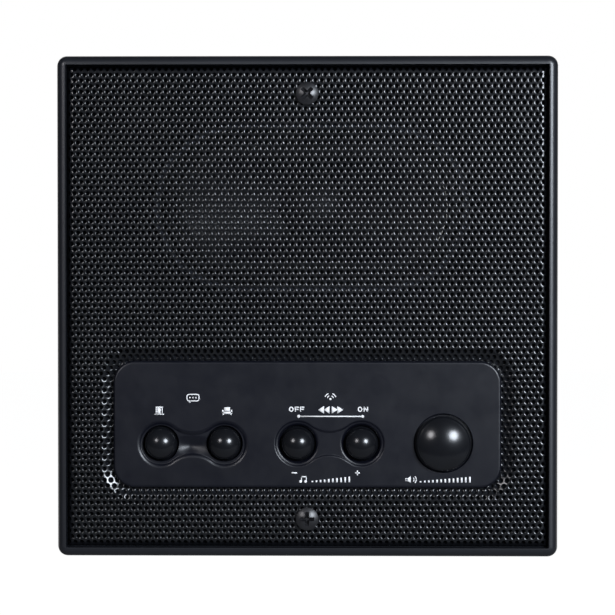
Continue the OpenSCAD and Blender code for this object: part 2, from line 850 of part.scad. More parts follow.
// Dual in line amplifier chip with four legs on each long side
module amplifier_chip() {
    color([0.10, 0.10, 0.10]) on_wall() at_panel() translate([chip_x, chip_y, 0]) {
        slab(board_back - chip_lift - chip_t, board_back - chip_lift) difference() {
            square([chip_l, chip_w], center = true);
            translate([-chip_l / 2, 0]) circle(r = chip_notch_r);
        }
        for (k = [-1.5:1.5], s = [-1, 1])
            translate([k * chip_pin_pitch, s * (chip_w + chip_leg_t) / 2, 0])
                slab(board_back - chip_lift - chip_t / 2, board_back)
                    square([chip_leg_w, chip_leg_t], center = true);
    }
}

module filter_capacitors() {
    color([0.12, 0.14, 0.30]) on_wall() at_panel() for (k = [0:2])
        translate([cap_x + k * cap_pitch, cap_y, 0]) disc(cap_d / 2, board_back - cap_l, board_back);
}

// Row of screw terminals: wires enter from below, the screws are reached from behind
module terminal_block() {
    color([0.12, 0.40, 0.25]) on_wall() at_panel() translate([terminal_x, terminal_y, 0]) difference() {
        slab(board_back - terminal_depth, board_back) square([terminal_w, terminal_h], center = true);
        for (k = [0:terminal_ways - 1]) translate([(k - (terminal_ways - 1) / 2) * terminal_pitch, 0, 0]) {
            disc(terminal_well_d / 2, board_back - terminal_depth - cut, terminal_seat);
            translate([0, -terminal_h / 2, board_back - terminal_depth * 0.3])
                cube([terminal_entry_w, terminal_entry_l, terminal_entry_h], center = true);
        }
    }
}

module terminal_screws() {
    color([0.75, 0.76, 0.78]) on_wall() at_panel() translate([terminal_x, terminal_y, 0])
        for (k = [0:terminal_ways - 1]) translate([(k - (terminal_ways - 1) / 2) * terminal_pitch, 0, 0])
            difference() {
                disc(terminal_screw_d / 2, terminal_seat - terminal_screw_l, terminal_seat);
                translate([0, 0, terminal_seat - terminal_screw_l])
                    cube([terminal_screw_d + cut, terminal_slot_w, 2 * terminal_slot_depth], center = true);
            }
}

module speaker_socket() {
    color([0.90, 0.88, 0.82]) on_wall() at_panel() translate([socket_x, socket_y, 0])
        slab(board_back - socket_depth, board_back) difference() {
            square([socket_w, socket_h], center = true);
            square([socket_w - 2 * socket_wall, socket_h - 2 * socket_wall], center = true);
        }
}

module speaker_plug() {
    color([0.90, 0.88, 0.82]) on_wall() at_panel() translate([socket_x, socket_y, 0])
        slab(plug_back, board_back - socket_floor)
            square([socket_w - 2 * plug_inset, socket_h - 2 * plug_inset], center = true);
}

// Point and direction of a lead at t from 0 to 1: it leaves plug and tag square to them
function lead_point(a, b, t) = pow(1 - t, 3) * a + 3 * pow(1 - t, 2) * t * (a - [0, 0, lead_bow])
    + 3 * (1 - t) * t * t * (b - [0, 0, lead_bow]) + pow(t, 3) * b;
function lead_way(a, b, t) = pow(1 - t, 2) * [0, 0, -lead_bow] + 2 * (1 - t) * t * (b - a)
    + t * t * [0, 0, lead_bow];
function unit(v) = v / norm(v);

// Round lead between two ends, as rings of lead_sides points across its path
module lead(a, b) {
    rings = [for (k = [0:lead_rings])
        let(t = k / lead_rings, d = unit(lead_way(a, b, t)), u = unit(cross(d, [1, 0, 0])), v = cross(d, u))
        for (j = [0:lead_sides - 1]) let(g = 360 * j / lead_sides)
            lead_point(a, b, t) + lead_d / 2 * (cos(g) * u + sin(g) * v)];
    sides = [for (k = [0:lead_rings - 1], j = [0:lead_sides - 1]) let(n = (j + 1) % lead_sides)
        each [[k * lead_sides + j, (k + 1) * lead_sides + n, k * lead_sides + n],
            [k * lead_sides + j, (k + 1) * lead_sides + j, (k + 1) * lead_sides + n]]];
    ends = [[for (j = [0:lead_sides - 1]) j],
        [for (j = [lead_sides - 1:-1:0]) lead_rings * lead_sides + j]];
    polyhedron(rings, concat(sides, ends));
}

module speaker_leads() {
    color([0.65, 0.12, 0.10]) on_wall() for (s = [-1, 1])
        lead([socket_x + s * plug_pitch / 2, socket_y - panel_drop, plug_back],
            [speaker_x + tag_x + s * tag_pitch / 2, speaker_rise + tag_y, tag_tip]);
}

module speaker_gasket() {
    color([0.35, 0.33, 0.30]) on_wall() at_speaker() slab(speaker_face, baffle_height) difference() {
        round_rect(flange_w, flange_h, flange_r);
        oval(mouth_half, land_out + hole_gap);
        for (p = speaker_holes) translate(p) circle(r = small_r + pilot_wall + hole_gap);
    }
}

// Pressed steel basket: flat flange, sloping wall with four windows, floor and damper seat
module speaker_basket() {
    color([0.42, 0.43, 0.45]) on_wall() at_speaker() {
        slab(flange_back, speaker_face) difference() {
            round_rect(flange_w, flange_h, flange_r);
            oval(mouth_half, basket_in);
            for (p = speaker_holes) translate(p) circle(r = small_r + hole_gap);
        }
        difference() {
            hull() {
                slab(flange_back, flange_back + basket_t / 2)
                    oval(mouth_half, basket_in + basket_t, $fn = 48);
                disc(cup_r + basket_t, plate_front, cup_floor, $fn = 48);
            }
            hull() {
                slab(flange_back, speaker_face + cut) oval(mouth_half, basket_in, $fn = 48);
                disc(cup_r, cup_floor, cup_floor + join, $fn = 48);
            }
            disc(floor_hole_r, plate_front - cut, cup_floor + cut);
            basket_windows();
        }
        ring(cup_r, seat_r, cup_floor - join, damper_back);
    }
}

module basket_windows() {
    window_top = flange_back - window_margin;
    window_bottom = damper_back + window_margin;
    for (s = [-1, 1]) {
        translate([s * (mouth_half + cup_r), 0, (window_top + window_bottom) / 2])
            cube([2 * mouth_half, cup_r, window_top - window_bottom], center = true);
        translate([0, s * (basket_in + cup_r) / 2, (window_top + window_bottom) / 2])
            cube([2 * mouth_half * 0.8, window_cut, window_top - window_bottom], center = true);
    }
}

module speaker_screws() {
    color([0.55, 0.56, 0.58]) on_wall() at_speaker() for (p = speaker_holes) translate(p)
        small_screw(flange_back, baffle_front - blind_t - screw_spare);
}

// Fibre board with its two soldering tags
module tag_board() {
    color([0.45, 0.30, 0.18]) on_wall() at_speaker() translate([tag_x, tag_y, 0])
        slab(flange_back - tag_board_t, flange_back) square([tag_w, tag_h], center = true);
}

module speaker_tags() {
    color([0.80, 0.68, 0.35]) on_wall() at_speaker() translate([tag_x, tag_y, 0]) for (s = [-1, 1])
        translate([s * tag_pitch / 2, 0, 0]) slab(tag_tip, flange_back - tag_board_t)
            square([tag_blade_w, tag_blade_t], center = true);
}

// Surround: two glued lands with a half roll between them
module cone_surround() {
    color([0.12, 0.12, 0.13]) on_wall() at_speaker() oval_edge(mouth_half) {
        translate([basket_in, speaker_face]) square([land_w, surround_t]);
        translate([cone_edge, cone_front]) square([lip_w, surround_t]);
        translate([roll_mid, speaker_face]) difference() {
            intersection() {
                circle(r = roll_r + surround_t / 2);
                translate([-2 * roll_r, 0]) square([4 * roll_r, 2 * roll_r]);
            }
            circle(r = roll_r - surround_t / 2);
        }
    }
}

// Cone that blends from the oval rim to the round voice coil
module speaker_cone() {
    color([0.14, 0.15, 0.18]) on_wall() at_speaker() {
        difference() {
            hull() {
                slab(cone_front - cone_t, cone_front) oval(mouth_half, cone_edge, $fn = 64);
                disc(former_r + cone_t, cone_back, cone_back + join, $fn = 64);
            }
            hull() {
                slab(cone_front, cone_front + cut) oval(mouth_half, cone_edge - cone_t, $fn = 64);
                disc(former_r - join, cone_back + cone_t, cone_back + cone_t + join, $fn = 64);
            }
            disc(former_r, cone_back - cut, cone_back + 4 * cone_t);
        }
        slab(cone_front - cone_t, cone_front) difference() {
            oval(mouth_half, lip_out);
            oval(mouth_half, cone_edge - cone_t / 2);
        }
    }
}

// Domed dust cap that stands on the end of the former
module dust_cap() {
    sphere_r = (pow(dome_r, 2) + pow(dome_rise, 2)) / (2 * dome_rise);
    color([0.16, 0.17, 0.20]) on_wall() at_speaker() {
        intersection() {
            disc(dome_r + cut, former_front, former_front + dome_rise + cut);
            translate([0, 0, former_front + dome_rise - sphere_r]) difference() {
                sphere(r = sphere_r);
                sphere(r = sphere_r - dome_t);
            }
        }
        ring(dome_r - dome_t, former_r - former_t, former_front, former_front + dome_t);
    }
}

module coil_former() {
    color([0.75, 0.60, 0.35]) on_wall() at_speaker()
        ring(former_r, former_r - former_t, former_back, former_front);
}

module voice_coil() {
    color([0.72, 0.38, 0.18]) on_wall() at_speaker()
        ring(former_r + winding_t, former_r, former_back + winding_margin, plate_front + winding_over);
}

// Corrugated damper: flat land on its seat, then waves that rise and fall by a cosine
module damper() {
    waves = 4;
    steps = 32;
    span = seat_r - former_r;
    rise = [for (k = [0:steps]) damper_wave / 2 * (1 - cos(360 * waves * k / steps))];
    color([0.72, 0.60, 0.35]) on_wall() at_speaker() translate([0, 0, damper_back]) rotate_extrude() {
        polygon(concat(
            [for (k = [0:steps]) [former_r + span * k / steps, rise[k]]],
            [for (k = [steps:-1:0]) [former_r + span * k / steps, rise[k] + damper_t]]));
        translate([seat_r, 0]) square([seat_w - hole_gap, damper_t]);
    }
}

module top_plate() {
    color([0.62, 0.60, 0.48]) on_wall() at_speaker() ring(plate_r, gap_r, plate_back, plate_front);
}

module magnet() {
    color([0.20, 0.20, 0.21]) on_wall() at_speaker() ring(magnet_r, magnet_bore_r, magnet_back, plate_back);
}

// Back plate with the pole that stands inside the voice coil
module back_plate() {
    color([0.62, 0.60, 0.48]) on_wall() at_speaker() {
        disc(plate_r, speaker_back, magnet_back);
        disc(pole_r, magnet_back - join, plate_front);
    }
}

// Pan head screws that hold the station to the wall box. The plain shank ends at the wall plane
module mounting_screws() {
    crown_r = (pow(screw_head_d / 2, 2) + pow(screw_crown, 2)) / (2 * screw_crown);
    color([0.08, 0.08, 0.08]) on_wall() for (s = [-1, 1]) translate([0, s * screw_spacing / 2, 0]) {
        difference() {
            intersection() {
                disc(screw_head_d / 2, sheet_face, sheet_face + screw_head_h);
                translate([0, 0, sheet_face + screw_head_h - crown_r]) sphere(r = crown_r);
            }
            cross_cut(recess_l, recess_w, screw_head_h * 0.7, sheet_face + screw_head_h);
        }
        disc(screw_shank_d / 2, -join, sheet_face + join);
        disc(screw_d / 2, sheet_face - screw_l + screw_d, 0);
        translate([0, 0, sheet_face - screw_l]) cylinder(r1 = screw_tip_r, r2 = screw_d / 2, h = screw_d);
    }
}

front_frame();
wall_gasket();
speaker_grille();
control_panel();
panel_screws();
door_button();
room_button();
volume_down_button();
volume_up_button();
door_switch();
room_switch();
volume_down_switch();
volume_up_switch();
door_plunger();
room_plunger();
volume_down_plunger();
volume_up_plunger();
volume_knob();
control_shaft();
control_body();
control_washer();
control_nut();
circuit_board();
board_screws();
amplifier_chip();
filter_capacitors();
terminal_block();
terminal_screws();
speaker_socket();
speaker_plug();
speaker_leads();
speaker_gasket();
speaker_basket();
speaker_screws();
tag_board();
speaker_tags();
cone_surround();
speaker_cone();
dust_cap();
coil_former();
voice_coil();
damper();
top_plate();
magnet();
back_plate();
mounting_screws();
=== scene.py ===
# Looks of the intercom patio station. Metres, X to the right, Z up. The wall is y = 0, the front faces -Y.
import json
import math

import bpy
import numpy as np
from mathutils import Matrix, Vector


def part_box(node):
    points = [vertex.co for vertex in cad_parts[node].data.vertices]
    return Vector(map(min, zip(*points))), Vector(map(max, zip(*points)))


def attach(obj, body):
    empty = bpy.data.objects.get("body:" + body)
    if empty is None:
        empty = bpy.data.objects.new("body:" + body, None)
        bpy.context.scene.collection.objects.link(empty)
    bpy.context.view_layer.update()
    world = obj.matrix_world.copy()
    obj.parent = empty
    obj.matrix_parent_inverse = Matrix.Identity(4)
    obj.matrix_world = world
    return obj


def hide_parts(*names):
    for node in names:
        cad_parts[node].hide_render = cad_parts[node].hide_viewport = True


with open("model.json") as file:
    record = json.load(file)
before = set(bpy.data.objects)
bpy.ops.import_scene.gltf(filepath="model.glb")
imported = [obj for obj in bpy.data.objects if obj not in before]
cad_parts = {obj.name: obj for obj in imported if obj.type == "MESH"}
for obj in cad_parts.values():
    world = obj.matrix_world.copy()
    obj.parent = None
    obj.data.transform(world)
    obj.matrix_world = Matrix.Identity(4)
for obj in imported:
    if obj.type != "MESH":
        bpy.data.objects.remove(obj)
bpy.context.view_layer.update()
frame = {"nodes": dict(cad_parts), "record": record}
cadNodes = frame["nodes"]
mm = 0.001
cellSize = 1.0007e-6  # points that lie in the same cell of this size count as one
tiny = 1e-12  # keeps a divisor off zero


def sizes(**values):
    # Millimetres to metres, for one number or several
    return {name: np.multiply(value, mm) for name, value in values.items()}


# Places read from the frame. A height is a distance in front of the wall, so it is -y

def boxOf(node):  # the low and the high corner of its box
    return np.array(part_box(node))


def centreOf(node):  # half the sum of the two corners
    return boxOf(node).sum(axis=0) / 2


def faceOf(node):  # height of the front of a node
    return -boxOf(node)[0][1]


def backOf(node):  # height of the back of a node
    return -boxOf(node)[1][1]


# Meshes from arrays

def grid(points, closed=True, flip=False):
    # One quad joins each point to the next one in its row and the two below. Closed rows end at their start
    rows, columns = points.shape[:2]
    row = columns * np.arange(rows - 1)[:, None]
    c = np.arange(columns if closed else columns - 1)[None, :]
    c2 = (c + 1) % columns
    quads = np.stack([row + c, row + c2, row + columns + c2, row + columns + c], -1).reshape(-1, 4)
    return points.reshape(-1, 3), quads[:, ::-1] if flip else quads


def joined(parts):
    # Several shapes as one: the numbers in each one's quads go up by the points before it
    starts = np.cumsum([0] + [len(points) for points, quads in parts[:-1]])
    return (np.concatenate([points for points, quads in parts]),
            np.concatenate([quads + start for (points, quads), start in zip(parts, starts)]))


def welded(points, quads):
    # Points in the same tiny cell become one. Quads that lose a corner become triangles, and others go
    cell = np.round(points / cellSize).astype(np.int64)
    first, index = np.unique(cell, axis=0, return_index=True, return_inverse=True)[1:]
    quads = index.reshape(-1)[quads]
    kept = quads != np.roll(quads, 1, axis=1)
    kept &= ~((quads == np.roll(quads, 2, axis=1)).any(axis=1)[:, None])
    kept &= (kept.sum(axis=1) >= 3)[:, None]
    counts = kept.sum(axis=1)
    return points[first], quads[kept], counts[counts > 0], np.flatnonzero(kept)


def newMesh(name, points, corners, counts):
    # counts says how many of the corners each face has
    mesh = bpy.data.meshes.new(name)
    mesh.vertices.add(len(points))
    mesh.vertices.foreach_set("co", points.astype(np.float32).ravel())
    mesh.loops.add(len(corners))
    mesh.loops.foreach_set("vertex_index", corners.astype(np.int32))
    mesh.polygons.add(len(counts))
    mesh.polygons.foreach_set("loop_start", (np.cumsum(counts) - counts).astype(np.int32))
    mesh.update(calc_edges=True)
    mesh.validate()
    mesh.shade_smooth()
    return mesh


def materialOf(slot):
    # A slot of the record such as panel_plastic has the look panelPlastic
    first, *others = slot.split("_")
    return materials[first + "".join(word.capitalize() for word in others)]


def makePiece(name, shape, body, slot, replaced=(), sharpAngle=35, material=None):
    # shape is (points, quads) or a mesh
    mesh = shape if isinstance(shape, bpy.types.Mesh) else newMesh(name, *welded(*shape)[:3])
    if sharpAngle:
        mesh.set_sharp_from_angle(angle=math.radians(sharpAngle))
    mesh.materials.clear()
    mesh.materials.append(material or materialOf(slot))
    piece = bpy.data.objects.new(name, mesh)
    bpy.context.scene.collection.objects.link(piece)
    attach(piece, body)
    if replaced:
        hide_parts(*replaced)
    return piece


# Shapes: rings round an axis that faces the front, and profiles carried round a path

def turned(centre, profile, steps=96):
    # Each profile point (radius, height) goes once round the axis: x = cx + r cos a, z = cz + r sin a
    angles = np.linspace(0, 2 * math.pi, steps, endpoint=False)
    radii, heights = np.array(profile).T
    x = centre[0] + radii[:, None] * np.cos(angles)
    z = centre[2] + radii[:, None] * np.sin(angles)
    y = np.broadcast_to(-heights[:, None], x.shape)
    return grid(np.stack([x, y, z], -1), flip=True)


def arc(centreR, centreH, radius, start, end, steps):
    # Points (r, h) of a circle's arc, angles in degrees from the outward direction towards the front
    a = np.radians(np.linspace(start, end, steps))
    return np.stack([centreR + radius * np.cos(a), centreH + radius * np.sin(a)], -1)


def roundRectPath(width, height, radius, cornerSteps, sideSteps=1):
    # Points and outward directions round a rectangle with round corners, from the right of the top side. A
    # corner's points are its centre + radius * direction, and a straight side leads to the next corner
    turn = np.radians(np.linspace(0, 90, cornerSteps + 1)) + math.pi / 2 * np.arange(4)[:, None]
    directions = np.stack([np.cos(turn), np.sin(turn)], -1)
    centres = np.array([(1, 1), (-1, 1), (-1, -1), (1, -1)]) * (width / 2 - radius, height / 2 - radius)
    corners = centres[:, None] + radius * directions
    t = np.linspace(0, 1, sideSteps + 1)[1:-1, None]
    sides = corners[:, -1:] * (1 - t) + np.roll(corners, -1, axis=0)[:, :1] * t
    sideDirections = np.repeat(directions[:, -1:], len(t), axis=1)
    return (np.concatenate([corners, sides], axis=1).reshape(-1, 2),
            np.concatenate([directions, sideDirections], axis=1).reshape(-1, 2))


def carried(path, normals, profile, centre):
    # Profile (out, height): each point lies at path + out * normal, at that height in front of the wall
    out, heights = np.array(profile).T
    flat = path[None] + out[:, None, None] * normals[None]
    y = np.broadcast_to(-heights[:, None], flat.shape[:2])
    points = np.stack([centre[0] + flat[..., 0], y, centre[2] + flat[..., 1]], -1)
    return grid(points, flip=True)


# Materials

def setInputs(tree, node, values):
    # A value that is a socket is linked, and any other is set on the input
    for key, value in values.items():
        if isinstance(value, bpy.types.NodeSocket):
            tree.links.new(value, node.inputs[key])
        else:
            node.inputs[key].default_value = value


def addNode(tree, kind, values=None, **options):
    # A node of a material or of the surrounding, with its options and inputs set
    node = tree.nodes.new(kind)
    for key, value in options.items():
        setattr(node, key, value)
    setInputs(tree, node, values or {})
    return node


def maths(tree, operation, *values):
    # Output of a Math node, such as the sum of two values
    return addNode(tree, "ShaderNodeMath", dict(enumerate(values)), operation=operation).outputs[0]


def noise(tree, coords, scale, detail):
    # Values round 0.5, with so many waves per metre and so many finer layers
    return addNode(tree, "ShaderNodeTexNoise", {"Vector": coords, "Scale": scale, "Detail": detail,
        "Roughness": 0.55}).outputs["Fac"]


def spread(tree, source, low, high, start=0.3, end=0.7):
    # Carries a noise from its middle range to the range low to high
    return addNode(tree, "ShaderNodeMapRange", {"Value": source, "From Min": start, "From Max": end,
        "To Min": low, "To Max": high}).outputs["Result"]


def bumped(tree, coords, scale, detail, height, under=None):
    # Normal of a bump of the given height in millimetres, over another bump where there is one
    values = {"Height": noise(tree, coords, scale, detail), "Distance": height * mm, "Strength": 1.0}
    if under:
        values["Normal"] = under
    return addNode(tree, "ShaderNodeBump", values).outputs["Normal"]


def finish(name, look):
    # Cloudy colour, patchy roughness and a grain in the bump, all on the piece's own coordinates in metres
    look = {**plainLook, **look}
    material = bpy.data.materials.new(name)
    material.use_nodes = True
    tree = material.node_tree
    coords = addNode(tree, "ShaderNodeTexCoord").outputs["Object"]
    colour, tint, rough, change = np.array(look["colour"]), look["tint"], look["rough"], look["roughSpread"]
    cloud = spread(tree, noise(tree, coords, look["cloudScale"], detail=4), 0, 1)
    mixed = addNode(tree, "ShaderNodeMix", {0: cloud, 6: (*(colour * (1 - tint)), 1),
        7: (*np.minimum(colour * (1 + tint), 1), 1)}, data_type="RGBA")
    patch = noise(tree, coords, look["patchScale"], detail=3)
    slow = bumped(tree, coords, look["waveScale"], 1, look["wave"]) if "wave" in look else None
    values = {"Base Color": mixed.outputs[2], "Metallic": look["metal"], "IOR": look["ior"],
        "Roughness": spread(tree, patch, rough - change, rough + change),
        "Normal": bumped(tree, coords, look["grainScale"], 2, look["grain"], slow)}
    if "coatFrom" in look:  # only what lies in front of a height has the coat, what is behind stays dull
        y = addNode(tree, "ShaderNodeSeparateXYZ", {"Vector": coords}).outputs["Y"]
        values["Coat Weight"] = spread(tree, y, 1, 0, *look["coatFrom"])
    if "coat" in look:
        values["Coat Weight"] = look["coat"]
    if "coatRough" in look:
        values["Coat Roughness"] = look["coatRough"]
    setInputs(tree, tree.nodes["Principled BSDF"], values)
    return material


# Scales are in waves per metre, heights of grain and wave in millimetres. A slow wave lies under the grain
plainLook = dict(tint=0.12, cloudScale=60, patchScale=140, roughSpread=0.05, metal=0, ior=1.5, grain=0.01,
    grainScale=5000)
looks = {
    "framePlastic": dict(colour=(0.0105, 0.0116, 0.0150), rough=0.5, roughSpread=0.08, ior=1.12,
        coatFrom=(-10.6 * mm, -10.2 * mm), coatRough=0.32, grain=0.006, grainScale=4200, cloudScale=45,
        tint=0.15),
    "panelPlastic": dict(colour=(0.0036, 0.0042, 0.0082), rough=0.32, roughSpread=0.03, ior=1.45, grain=0.012,
        grainScale=4500, cloudScale=40),
    "buttonPlastic": dict(colour=(0.0060, 0.0066, 0.0085), rough=0.2, roughSpread=0.03, grain=0.002,
        grainScale=3000, cloudScale=120, tint=0.15),
    "grillePaint": dict(colour=(0.0050, 0.0054, 0.0068), rough=0.16, roughSpread=0.04, ior=1.55, grain=0.004,
        grainScale=2600, cloudScale=70, tint=0.15),
    "screwBlack": dict(colour=(0.012, 0.012, 0.014), rough=0.36, roughSpread=0.06, ior=1.6, grain=0.004,
        cloudScale=300, tint=0.3),
    "legendInk": dict(colour=(0.98, 0.98, 0.98), rough=0.5, grain=0.004, grainScale=6000, cloudScale=800,
        tint=0.04),
    "zincSteel": dict(colour=(0.58, 0.60, 0.62), rough=0.32, roughSpread=0.1, metal=1, grain=0.006,
        grainScale=3000, cloudScale=500, tint=0.15),
    "brass": dict(colour=(0.70, 0.52, 0.24), rough=0.3, roughSpread=0.1, metal=1, grain=0.004,
        cloudScale=400),
    "switchPlastic": dict(colour=(0.02, 0.02, 0.022), rough=0.45, tint=0.2),
    "plungerPlastic": dict(colour=(0.74, 0.72, 0.66), rough=0.4, grain=0.008, tint=0.05),
    "controlCase": dict(colour=(0.30, 0.31, 0.33), rough=0.4, metal=0.8, cloudScale=300),
    "board": dict(colour=(0.02, 0.13, 0.055), rough=0.3, coat=0.3, coatRough=0.15, grainScale=1800,
        cloudScale=160, tint=0.25),
    "capacitorSleeve": dict(colour=(0.012, 0.016, 0.06), rough=0.25, grain=0.004, tint=0.2),
    "terminalPlastic": dict(colour=(0.02, 0.16, 0.08), rough=0.4),
    "leadJacket": dict(colour=(0.35, 0.015, 0.012), rough=0.45, cloudScale=250, tint=0.15),
    "foam": dict(colour=(0.016, 0.016, 0.018), rough=0.9, grain=0.15, grainScale=1500, cloudScale=900,
        tint=0.4),
    "fibre": dict(colour=(0.035, 0.022, 0.013), rough=0.75, grain=0.04, grainScale=1500, cloudScale=600,
        tint=0.3),
    "platedSteel": dict(colour=(0.50, 0.49, 0.42), rough=0.34, roughSpread=0.1, metal=1, grainScale=1600,
        waveScale=90, wave=0.05, cloudScale=120, tint=0.18),
    "ferrite": dict(colour=(0.035, 0.035, 0.037), rough=0.6, roughSpread=0.1, grain=0.05, grainScale=2200,
        cloudScale=200, tint=0.3),
    "coneFilm": dict(colour=(0.004, 0.0038, 0.0062), rough=0.5, ior=1.35, grain=0.02, grainScale=700,
        tint=0.2),
    "surroundRubber": dict(colour=(0.005, 0.005, 0.006), rough=0.65, ior=1.3, grain=0.02, grainScale=1500,
        tint=0.2),
    "damperCloth": dict(colour=(0.52, 0.36, 0.14), rough=0.85, grain=0.12, grainScale=2600, tint=0.25),
    "formerPaper": dict(colour=(0.38, 0.24, 0.10), rough=0.7, grain=0.03, tint=0.2),
    "copper": dict(colour=(0.62, 0.28, 0.12), rough=0.3, metal=1, grain=0.03, grainScale=3000, tint=0.2),
}
materials = {name: finish(name, look) for name, look in looks.items()}
print("materials ready:", len(materials))


# Camera at the photograph's viewing angle, 1 m away and slightly above and to the right

view = {"azimuth": 1.2, "elevation": 1.3, "distance": 1.0, "width": 0.2251, "aimX": 0.0001, "aimZ": -0.0004,
    "depth": -0.0097, "sensor": 36.0, "clip": (0.01, 50)}


def towards(azimuth, elevation):
    # Unit vector to a place in front: azimuth 0 is straight ahead, positive to the right
    a, e = math.radians(azimuth), math.radians(elevation)
    return Vector((math.sin(a) * math.cos(e), -math.cos(a) * math.cos(e), math.sin(e)))


def placeCamera(s):
    # Place = aim + distance * direction, and focal length = sensor * distance / width of the view there
    data = bpy.data.cameras.new("camera")
    data.sensor_width = s["sensor"]
    data.lens = s["sensor"] * s["distance"] / s["width"]
    data.clip_start, data.clip_end = s["clip"]
    camera = bpy.data.objects.new("camera", data)
    bpy.context.scene.collection.objects.link(camera)
    back = towards(s["azimuth"], s["elevation"])
    camera.location = Vector((s["aimX"], s["depth"], s["aimZ"])) + back * s["distance"]
    camera.rotation_euler = (-back).to_track_quat("-Z", "Y").to_euler()
    bpy.context.scene.camera = camera


placeCamera(view)


# Two round soft lamps in front, a wide bluish glow round the right one, and a surrounding that is white
# behind the object and dim in front of it

softLamps = {
    "rightLamp": {"azimuth": 28.0, "elevation": 13, "distance": 1.0, "across": 19.5, "radiance": 31,
        "colour": (0.91, 0.98, 1.08)},
    "leftLamp": {"azimuth": -28.5, "elevation": 16.5, "distance": 1.6, "across": 14, "radiance": 14,
        "colour": (1.0, 0.98, 1.02)},
}
surrounding = {"fill": 0.12, "front": 0.06, "side": 0.03, "sideFrom": -1.0, "sideTo": -0.3, "whiteFrom": 0.6,
    "whiteTo": 1.0, "glow": 0.012, "glowCore": 0.05, "glowFall": -1.6, "glowColour": (0.86, 1.0, 1.2, 1),
    "white": (1, 1, 1, 1)}
paleFloor = {"height": -0.21, "half": 4.0, "front": -0.26, "colour": (0.3, 0.3, 0.3, 1), "rough": 0.9,
    "glow": 0.95, "glowFrom": 0.1, "glowTo": 0.6}


def placeSoftLamp(name, s):
    # A disk's power is its radiance * pi * its area
    data = bpy.data.lights.new(name, "AREA")
    data.shape = "DISK"
    data.size = 2 * s["distance"] * math.tan(math.radians(s["across"] / 2))
    data.energy = s["radiance"] * math.pi ** 2 * data.size ** 2 / 4
    data.color = s["colour"]
    lamp = bpy.data.objects.new(name, data)
    bpy.context.scene.collection.objects.link(lamp)
    back = towards(s["azimuth"], s["elevation"])
    lamp.location = back * s["distance"]
    lamp.rotation_euler = back.to_track_quat("Z", "Y").to_euler()
    lamp.visible_camera = False


def askingRays(tree):
    # 1 for a mirror's or glass's ray, and 1 for the camera's
    rays = addNode(tree, "ShaderNodeLightPath").outputs
    return maths(tree, "MAXIMUM", rays["Is Glossy Ray"], rays["Is Transmission Ray"]), rays["Is Camera Ray"]


def makeWorld(s):
    # Glow = k / (core + angle^2)^n, where angle^2 is about 2 (1 - cosine) from the right lamp's direction
    world = bpy.data.worlds.new("surrounding")
    bpy.context.scene.world = world
    world.use_nodes = True
    tree = world.node_tree
    tree.nodes.clear()
    direction = addNode(tree, "ShaderNodeTexCoord").outputs["Generated"]
    y = addNode(tree, "ShaderNodeSeparateXYZ", {"Vector": direction}).outputs["Y"]
    dim = spread(tree, y, s["front"], s["side"], s["sideFrom"], s["sideTo"])
    mirrored = maths(tree, "ADD", spread(tree, y, 0, 1, s["whiteFrom"], s["whiteTo"]), dim)
    shiny, seen = askingRays(tree)
    strength = addNode(tree, "ShaderNodeMix", {0: shiny, 2: s["fill"], 3: mirrored}).outputs[0]
    lamp = softLamps["rightLamp"]
    aim = towards(lamp["azimuth"], lamp["elevation"])
    cosine = addNode(tree, "ShaderNodeVectorMath", {0: direction, 1: aim},
        operation="DOT_PRODUCT").outputs["Value"]
    angle = maths(tree, "MULTIPLY_ADD", cosine, -2.0, 2.0 + s["glowCore"])
    glow = maths(tree, "MULTIPLY", maths(tree, "POWER", angle, s["glowFall"]), s["glow"])
    levels = ((s["white"], strength), (s["glowColour"], glow), (s["white"], 1.0))
    plain, glowing, white = (addNode(tree, "ShaderNodeBackground", {"Color": colour,
        "Strength": level}).outputs[0] for colour, level in levels)
    both = addNode(tree, "ShaderNodeAddShader", {0: plain, 1: glowing}).outputs[0]
    surface = addNode(tree, "ShaderNodeMixShader", {0: seen, 1: both, 2: white}).outputs[0]
    addNode(tree, "ShaderNodeOutputWorld", {"Surface": surface})


def makeFloor(s):
    # A flat floor. The camera sees it white, and mirrors see it white behind the object
    material = bpy.data.materials.new("paleFloor")
    material.use_nodes = True
    tree = material.node_tree
    place = addNode(tree, "ShaderNodeTexCoord").outputs["Object"]
    y = addNode(tree, "ShaderNodeSeparateXYZ", {"Vector": place}).outputs["Y"]
    shiny, seen = askingRays(tree)
    mirrored = maths(tree, "MULTIPLY", shiny, spread(tree, y, 0, 1, s["glowFrom"], s["glowTo"]))
    glow = maths(tree, "MULTIPLY", maths(tree, "MAXIMUM", seen, mirrored), s["glow"])
    setInputs(tree, tree.nodes["Principled BSDF"], {"Base Color": s["colour"], "Roughness": s["rough"],
        "Specular IOR Level": 0, "Emission Color": (1, 1, 1, 1), "Emission Strength": glow})
    half, front = s["half"], s["front"]
    points = [(x, y, s["height"]) for x, y in ((-half, front), (half, front), (half, half), (-half, half))]
    mesh = newMesh("floor", np.array(points), np.arange(4), np.array([4]))
    mesh.materials.append(material)
    floor = bpy.data.objects.new("floor", mesh)
    bpy.context.scene.collection.objects.link(floor)


for lampName, settings in softLamps.items():
    placeSoftLamp(lampName, settings)
makeWorld(surrounding)
makeFloor(paleFloor)
scene = bpy.context.scene
scene.view_settings.view_transform = "Standard"
print("camera, lamps and surrounding ready")


# Perforated grille. One sheet of staggered round holes, bent over at the edges and formed down round the
# panel. Punching draws the face down a little round each hole, and that slope catches the lamps

grille = {
    **sizes(pitch=2.381, holeR=0.794, rimW=0.36, rimDrop=0.065, firstX=-87.55, firstZ=86.75, thickness=0.8,
        bendR=2.4, border=0.6, slopeW=3.6, lap=2.2, cutMargin=0.3, probe=0.02),
    "slopeSoft": 0.09, "rimTilt": 20, "stubShare": 0.3, "nearShare": 0.01, "sides": 12}


